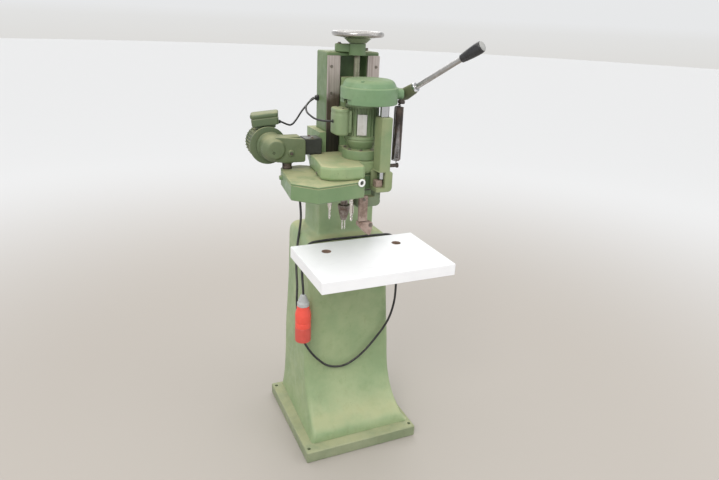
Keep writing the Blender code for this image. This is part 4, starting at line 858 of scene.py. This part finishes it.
# output coupling under the gearbox
bm = bmesh.new()
lathe(bm, soften([(0, 1.180), (0.0080, 1.180), (0.0080, 1.1522), (0.0160, 1.1520), (0.0170, 1.1505), (0.0170, 1.1440), (0.0150, 1.1435), (0.0150, 1.1415), (0.0170, 1.1410), (0.0170, 1.1330),
                  (0.0160, 1.1312), (0.0080, 1.1310), (0.0080, 1.0975), (0.0141, 1.0975), (0.0128, 1.0920), (0.0128, 1.0895), (0.0141, 1.0845), (0, 1.0845)], 0.0006, 2), (-0.25, -0.035, 0), seg=56)
sockethead(bm, (-0.2655, -0.041, 1.1475), (-0.93, -0.36, 0), 0.0026, 0.0020)
add("output_coupling", bm, R_COUP, "gear_output", 30, "gearbox_output")

# ------------------------------------------------------------------ drive housing trim
bm = bmesh.new()
gn = Vector((0.182, -0.983, 0.0)).normalized()
gc = Vector((-0.0650, -0.2664, 1.1260)) + gn * 0.0012
ob = lathe(bm, soften([(0.0072, -0.0004), (0.0072, 0.0032), (0.0078, 0.0045), (0.0122, 0.0045), (0.0134, 0.0034), (0.0135, 0.0), (0.0072, 0.0)], 0.0005, 3), gc, gn, 64)
lathe(bm, [(0, 0.0026), (0.0040, 0.0024), (0.0072, 0.0014), (0.0072, 0.0), (0, 0.0)], gc, gn, 40, 1)
add("sight_glass_ring", bm, [WHITE, GLASS], "head", 30, "sight_glass")
bm = bmesh.new()
lathe(bm, soften([(0, 0.0095), (0.0065, 0.0095), (0.0078, 0.0070), (0.0078, 0.0018), (0.0098, 0.0010), (0.0098, 0.0), (0, 0)], 0.0007, 3), (-0.2760, -0.060, 1.105), Vector((-0.993, 0.118, 0)), 32)
add("housing_side_knob", bm, G_HOUSE, "head", 30, ())
bm = bmesh.new()
sockethead(bm, (-0.1800, -0.1500, 1.1380), Vector((-0.99, 0.16, 0)), 0.0045, 0.0030)
add("head_plate_screws", bm, S_BOLT, "head", 30, ())

# ------------------------------------------------------------------ tools
CX, CY = -0.078, -0.155


def twist(bm, at, r, z0, z1, tip, turns, seg=20, mi=0):
    """A two-flute bit from z1 down to its point at tip."""
    rows_, n = [], 46
    for i in range(n + 1):
        f = i / n
        z = z1 + (tip - z1) * f
        k = 1.0 if z > z0 else max((z - tip) / max(z0 - tip, 1e-6), 0.0)
        a0 = 2 * math.pi * turns * f
        depth = 0.42 if 0.06 < f else 0.42 * f / 0.06
        row = []
        for q in range(seg):
            a = 2 * math.pi * q / seg
            flute = max(0.0, math.cos(2 * a)) ** 1.5
            rr = r * max(k, 0.04) * (1 - depth * flute)
            row.append(bm.verts.new((at[0] + rr * math.cos(a + a0), at[1] + rr * math.sin(a + a0), z)))
        rows_.append(row)
    for a, b in zip(rows_, rows_[1:]):
        for q in range(seg):
            f = bm.faces.new([a[q], a[(q + 1) % seg], b[(q + 1) % seg], b[q]])
            f.material_index = mi
    bm.faces.new(rows_[0]).material_index = mi
    bm.faces.new(rows_[-1][::-1]).material_index = mi


bm = bmesh.new()
lathe(bm, soften([(0, 1.1215), (0.0180, 1.1215), (0.0180, 1.1065), (0.0100, 1.1065), (0.0100, 1.0970), (0.0195, 1.0970), (0.0195, 1.0845),
                  (0.0125, 1.0845), (0.0125, 1.0190), (0.0203, 1.0190), (0.0215, 1.0174), (0.0215, 1.0046), (0.0195, 1.0030),
                  (0.0180, 0.9900), (0.0148, 0.9782), (0.0140, 0.9776), (0.0138, 0.9756), (0.0112, 0.9645), (0.0095, 0.9620), (0, 0.9620)], 0.0007, 2), (CX, CY, 0), seg=72)
for a in (15, 135, 255):
    u = Vector((math.cos(math.radians(a)), math.sin(math.radians(a)), 0))
    sockethead(bm, Vector((CX, CY, 1.0110)) + u * 0.0211, u, 0.0030, 0.0004)
for s in (-1, 1):
    twist(bm, (CX + s * 0.0048, CY), 0.0026, 0.929, 0.9640, 0.9235, 1.6, 12, 1)
add("centre_spindle_turned", bm, [S_TOOL, C_BIT], "centre_tool", 30, "centre_spindle")
bm = bmesh.new()
lathe(bm, soften([(0, 1.0970), (0.0255, 1.0970), (0.0255, 1.0845), (0.0090, 1.0845), (0.0090, 1.0480), (0.0084, 1.0470), (0.0084, 1.0450), (0.0090, 1.0440), (0.0090, 1.0345), (0.0078, 1.0312), (0.0078, 1.0000), (0.0052, 0.9935), (0, 0.9930)], 0.0005, 2), (-0.068, -0.200, 0), seg=56)
twist(bm, (-0.068, -0.200), 0.0051, 0.9745, 0.9960, 0.9682, 1.0, 20, 0)
add("right_drill_bit", bm, C_BIT, "right_tool", 30, "right_drill")
bm = bmesh.new()
lathe(bm, soften([(0, 1.0975), (0.0200, 1.0975), (0.0200, 1.0845), (0.0090, 1.0845), (0.0090, 1.0480), (0.0084, 1.0470), (0.0084, 1.0450), (0.0090, 1.0440), (0.0094, 1.0345), (0.0062, 1.0120), (0.0042, 1.0040), (0, 1.0035)], 0.0005, 2), (-0.132, -0.155, 0), seg=56)
twist(bm, (-0.132, -0.155), 0.0041, 0.9735, 1.0060, 0.9672, 1.2, 20, 0)
add("left_drill_bit", bm, C_BIT, "left_tool", 30, "left_drill")

# ------------------------------------------------------------------ lever
LD = Vector((0.411, -0.734, 0.541)).normalized()
A0 = Vector((0.1320, -0.160, 1.398))
bm = bmesh.new()
lathe(bm, soften([(0, 0.0450), (0.0178, 0.0450), (0.0184, 0.0420), (0.0205, 0.0120), (0.0212, 0.0), (0.0150, -0.0030), (0, -0.0030)], 0.0014, 3), A0, LD, 64)
so = add("lever_socket_cast", bm, G_DARK, None, 30)
t = bmesh.new()
lathe(t, soften([(0, 0.0220), (0.0185, 0.0220), (0.0205, 0.0195), (0.0205, 0.0010), (0.0195, 0.0), (0, 0.0)], 0.0010, 3), (0.1138, -0.160, 1.398), (1, 0, 0), 64)
cut(so, t, "hub", 'UNION')
t = bmesh.new()
block(t, (0.06, -0.25, 1.33), (0.1137, -0.10, 1.46))
cut(so, t)
t = bmesh.new()
lathe(t, [(0, 0.1425), (0.0103, 0.1425), (0.0103, 0.10), (0, 0.10)], (0, -0.160, 1.398), (1, 0, 0), 40)
cut(so, t)
finish_piece(so, "lever", "lever_socket")
bm = bmesh.new()
lathe(bm, soften([(0.0093, 0.0100), (0.0148, 0.0100), (0.0165, 0.0085), (0.0165, 0.0016), (0.0150, 0.0), (0.0093, 0.0)], 0.0007, 3), A0 + LD * 0.0454, LD, 56, closed=True)
add("lever_collar_chrome", bm, C_COL, "lever", 30, "lever_collar")
bm = bmesh.new()
lathe(bm, [(0, 0.3080), (0.0086, 0.3080), (0.0090, 0.3070), (0.0090, 0.0460), (0, 0.0455)], A0, LD, 48)
add("lever_rod_round", bm, S_ROD, "lever", 30, "lever_rod")
bm = bmesh.new()
lathe(bm, soften([(0, 0.0800), (0.0172, 0.0800), (0.0188, 0.0745), (0.0195, 0.0680), (0.0192, 0.0560), (0.0178, 0.0380), (0.0155, 0.0180),
                  (0.0136, 0.0050), (0.0128, 0.0008), (0.0115, 0.0), (0.0094, 0.0), (0.0094, 0.0670), (0, 0.0670)], 0.0016, 4), A0 + LD * 0.2430, LD, 72)
# the domed end, in the light grey painted highlight
lathe(bm, soften([(0, 0.0868), (0.0080, 0.0860), (0.0140, 0.0832), (0.0170, 0.0801), (0, 0.0795)], 0.0010, 4), A0 + LD * 0.2430, LD, 72, 1)
add("lever_grip_moulded", bm, [GRIP, GRIP_END_HIGHLIGHT], "lever", 35, "lever_grip")

# ------------------------------------------------------------------ return spring
SX, SY = 0.096, -0.195
z1, z0, turns = 1.3625, 1.1775, 46
top_pts = [Vector((SX + 0.0040, SY, 1.3640)), Vector((SX + 0.0080, SY + 0.0040, 1.3635))]
for i in range(turns * 18 + 1):
    a = 2 * math.pi * i / 18 + 0.8
    k = min(1.0, i / 8, (turns * 18 - i) / 8)
    rr = 0.0085 + (0.0149 - 0.0085) * k
    top_pts.append(Vector((SX + rr * math.cos(a), SY + rr * math.sin(a), z1 + (z0 - z1) * i / (turns * 18))))
top_pts.append(Vector((SX, SY - 0.0040, 1.1740)))
top_pts.append(Vector((SX, SY, 1.1700)))
bm = bmesh.new()
sweep(bm, top_pts, 0.0016, 7)
spring = add("return_spring_coil", bm, R_SPRING, None, 50)
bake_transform(spring)
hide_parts("return_spring")

# ------------------------------------------------------------------ cords and plug
PX, PY = -0.2063, -0.0950
route = [(-0.1345, 0.1350, 0.9700), (-0.1415, 0.1350, 0.9692), (-0.1465, 0.1340, 0.9620), (-0.1460, 0.1280, 0.9400), (-0.1510, 0.1050, 0.8850), (-0.1742, 0.0750, 0.7900),
         (-0.1900, 0.0400, 0.7200), (-0.2010, -0.0050, 0.6500), (-0.2090, -0.0260, 0.6000), (-0.2100, -0.0430, 0.5300), (-0.2060, -0.0500, 0.4850), (-0.1960, -0.0660, 0.4430),
         (-0.1800, -0.0790, 0.4100), (-0.1600, -0.0820, 0.3790), (-0.1370, -0.0830, 0.3510), (-0.1000, -0.0850, 0.3180), (-0.0620, -0.0850, 0.3030), (-0.0200, -0.0850, 0.3020),
         (0.0200, -0.0840, 0.3180), (0.0570, -0.0830, 0.3430), (0.1150, -0.0800, 0.4000), (0.1685, -0.0780, 0.4726), (0.1920, -0.0770, 0.5500), (0.1970, -0.0740, 0.6280),
         (0.1970, -0.0640, 0.7200), (0.1930, -0.0600, 0.8000), (0.1830, -0.0580, 0.8280), (0.1620, -0.0535, 0.8420), (0.1300, -0.0500, 0.8440), (0.0800, -0.0480, 0.8450),
         (0.0, -0.0470, 0.8455), (-0.0800, -0.0460, 0.8460), (-0.1300, -0.0470, 0.8450), (-0.1620, -0.0500, 0.8430), (-0.1830, -0.0560, 0.8290),
         (-0.1970, -0.0600, 0.8000), (-0.2040, -0.0740, 0.7300), (PX, -0.0900, 0.6900), (PX, PY, 0.6700), (PX, PY, 0.6584)]


def cord_curve(name, pts, d, mat):
    cu = bpy.data.curves.new(name, 'CURVE')
    cu.dimensions = '3D'
    cu.bevel_depth = d / 2
    cu.bevel_resolution = 4
    cu.use_fill_caps = True
    sp = cu.splines.new('POLY')
    sp.points.add(len(pts) - 1)
    for p, c in zip(sp.points, pts):
        p.co = (*c, 1)
    cu.materials.append(mat)
    o = bpy.data.objects.new(name, cu)
    OBJ.objects.link(o)
    return o


main_pts = catmull(route, 320)
mains = cord_curve("mains_cord_cable", main_pts, 0.009, BLACK)
finish_piece(mains, "stand", "mains_cord")

# plug: grey gland with ribs, red barrel with a grip band, an open collar with pins
bm = bmesh.new()
prof = [(0, 0.6578), (0.0072, 0.6578), (0.0085, 0.6560)]
for k in range(6):
    z = 0.6540 - 0.0042 * k
    r = 0.0105 + 0.0016 * k
    prof += [(r, z), (r + 0.0010, z - 0.0012), (r + 0.0008, z - 0.0026), (r - 0.0004, z - 0.0034)]
prof += [(0.0205, 0.6262), (0.0230, 0.6235), (0.0230, 0.6115), (0.0215, 0.6100), (0, 0.6100)]
lathe(bm, prof, (PX, PY, 0), seg=72, wob=lambda a, z: (0.0006 * (1 if math.cos(24 * a) > 0 else -0.4)) if 0.612 < z < 0.6235 else 0.0)
add("plug_gland_ribbed", bm, GREY, "stand", 35, "plug_gland")
bm = bmesh.new()
prof = soften([(0, 0.6096), (0.0222, 0.6096), (0.0240, 0.6080), (0.0248, 0.5980), (0.0288, 0.5850), (0.0300, 0.5760), (0.0300, 0.5450), (0.0288, 0.5440), (0.0288, 0.5400), (0.0300, 0.5390),
               (0.0300, 0.5220), (0.0290, 0.5210)], 0.0008, 2)
lathe(bm, prof + [(0, 0.5200)], (PX, PY, 0), seg=96,
      wob=lambda a, z: (0.0003 + 0.0005 * math.cos(30 * a)) if 0.546 < z < 0.576 else 0.0)
lathe(bm, soften([(0, 0.5212), (0.0285, 0.5212), (0.0305, 0.5190), (0.0305, 0.4660), (0.0298, 0.4625), (0.0282, 0.4620), (0.0272, 0.4640), (0.0270, 0.5000), (0, 0.5000)], 0.0008, 2), (PX, PY, 0), seg=96, mi=1)
for k in range(5):
    a = math.radians(90 + 72 * k)
    lathe(bm, [(0, 0.0), (0.0030, 0.0), (0.0030, -0.0290), (0.0022, -0.0310), (0, -0.0312)], (PX + 0.0150 * math.cos(a), PY + 0.0150 * math.sin(a), 0.5002), seg=16, mi=2)
block(bm, (PX - 0.0045, PY - 0.0318, 0.4700), (PX + 0.0045, PY - 0.0290, 0.5150), 0.0008, 2, None, 1)
add("plug_body_moulded", bm, [RED, RED_DARK, C_BIT], "stand", 35, "plug_body")

# glands, tapered
bm = bmesh.new()
lathe(bm, soften([(0, 0.0218), (0.0052, 0.0218), (0.0064, 0.0200), (0.0090, 0.0112), (0.0100, 0.0100), (0.0100, 0.0090)], 0.0006, 2) + [(0, 0.0090)], (-0.1124, 0.135, 0.970), (-1, 0, 0), 40)
prism(bm, arc(0, 0, 0.0125, 0, 300, 5), 0.0, 0.0092, 0.0008, 2, aim((-1, 0, 0), (-0.1124, 0.135, 0.970)))
add("mains_gland_nut", bm, BLK_GLAND, "stand", 30, "mains_gland")
bm = bmesh.new()
prism(bm, arc(0, 0, 0.0110, 0, 300, 5), 0.0, 0.0060, 0.0008, 2, aim((-1, 0, 0), (-0.0993, 0.070, 1.359)))
lathe(bm, soften([(0, 0.0122), (0.0070, 0.0122), (0.0090, 0.0105), (0.0095, 0.0060), (0, 0.0058)], 0.0006, 2), (-0.0993, 0.070, 1.359), (-1, 0, 0), 32)
add("column_gland_nut", bm, BLK_GLAND, "stand", 30, "column_gland")


def lead(name, pts, node, exit_body, end_body):
    p = catmull(pts, 120)
    b = bmesh.new()
    sweep(b, p, 0.0033, 14)
    o = add(name, b, BLACK, None, 50)
    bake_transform(o)
    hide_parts(node)


lead("gearmotor_lead_cable", [(-0.1142, 0.0745, 1.3590), (-0.1220, 0.0738, 1.3545), (-0.1339, 0.070, 1.3434), (-0.1603, 0.064, 1.3172), (-0.1872, 0.059, 1.2824),
                              (-0.2000, 0.0560, 1.2700), (-0.2108, 0.055, 1.2660), (-0.2331, 0.055, 1.2735), (-0.2410, 0.055, 1.2772), (-0.2482, 0.055, 1.2792)],
     "gearmotor_lead", "stand", "head")
lead("spindle_lead_cable", [(-0.1146, 0.0650, 1.3580), (-0.1240, 0.0575, 1.3555), (-0.1519, 0.030, 1.3462), (-0.1695, 0.0, 1.337), (-0.1760, -0.03, 1.3245),
                            (-0.1717, -0.06, 1.3155), (-0.1642, -0.09, 1.3101), (-0.1499, -0.1110, 1.308), (-0.1340, -0.1270, 1.3085), (-0.1200, -0.1310, 1.309)],
     "spindle_motor_lead", "stand", "head")

# ------------------------------------------------------------------ feed trim
bm = bmesh.new()
hexhead(bm, (-0.0120, -0.2430, 0.9640), (0, -1, 0), 0.0052, 0.0045, True, 0, 0.3)
add("tip_bolt", bm, S_BOLT, "feed", 30, ())
bm = bmesh.new()
sockethead(bm, (-0.0382, -0.2365, 1.0560), (0, -1, 0), 0.0052, 0.0035)
sockethead(bm, (0.0600, -0.2120, 1.1486), (0, 0, 1), 0.0040, 0.0030)
add("feed_screws", bm, S_BOLT, "feed", 30, ())

# ------------------------------------------------------------------ floor and light
fl = Nodes("pale_floor")
fx, fy, fz = fl.xyz()
far = fl.math('SQRT', fl.math('ADD', fl.math('MULTIPLY', fx, fx), fl.math('MULTIPLY', fy, fy)))
fcol = fl.mix(fl.ramp(far, 1.2, 5.0), (0.412, 0.378, 0.340), (0.690, 0.690, 0.690))
FL = fl.done(fcol, 0.62, 0.0)
bm = bmesh.new()
bmesh.ops.create_circle(bm, cap_ends=True, segments=96, radius=30.0)
floor = add("floor", bm, FL)

world = bpy.data.worlds.new("studio")
bpy.context.scene.world = world
world.use_nodes = True
wt = world.node_tree
bg = wt.nodes["Background"]
tc = wt.nodes.new("ShaderNodeTexCoord")
sx = wt.nodes.new("ShaderNodeSeparateXYZ")
wt.links.new(tc.outputs["Generated"], sx.inputs[0])
cr = wt.nodes.new("ShaderNodeValToRGB")
cr.color_ramp.elements[0].position = 0.0
cr.color_ramp.elements[0].color = (0.42, 0.40, 0.37, 1)
cr.color_ramp.elements[1].position = 1.0
cr.color_ramp.elements[1].color = (1.0, 1.0, 1.0, 1)
for pos, c in ((0.46, (0.50, 0.49, 0.47, 1)), (0.492, (0.535, 0.535, 0.53, 1)), (0.50, (0.562, 0.567, 0.572, 1)), (0.64, (0.59, 0.60, 0.61, 1)), (0.68, (0.34, 0.355, 0.37, 1)),
               (0.74, (0.38, 0.39, 0.40, 1)), (0.78, (1.0, 1.0, 1.0, 1))):
    e = cr.color_ramp.elements.new(pos)
    e.color = c
mr = wt.nodes.new("ShaderNodeMapRange")
mr.inputs["From Min"].default_value = -1.0
mr.inputs["From Max"].default_value = 1.0
wt.links.new(sx.outputs["Z"], mr.inputs["Value"])
wt.links.new(mr.outputs["Result"], cr.inputs["Fac"])
wt.links.new(cr.outputs["Color"], bg.inputs["Color"])
bg.inputs["Strength"].default_value = 1.42


def area(name, at, target, size, power, color=(1, 1, 1)):
    li = bpy.data.lights.new(name, 'AREA')
    li.shape = 'DISK'
    li.size = size
    li.energy = power
    li.color = color
    o = bpy.data.objects.new(name, li)
    bpy.context.scene.collection.objects.link(o)
    o.matrix_world = Matrix.Translation(Vector(at)) @ (Vector(target) - Vector(at)).to_track_quat('-Z', 'Y').to_matrix().to_4x4()


area("key", (-2.2, -2.4, 3.4), (0, 0, 0.9), 1.6, 52, (1.0, 0.985, 0.96))
area("fill", (2.6, -2.0, 2.2), (0, 0, 1.0), 2.2, 14, (0.95, 0.98, 1.0))
area("back", (0.8, 2.8, 3.0), (0, 0, 1.0), 2.0, 18)
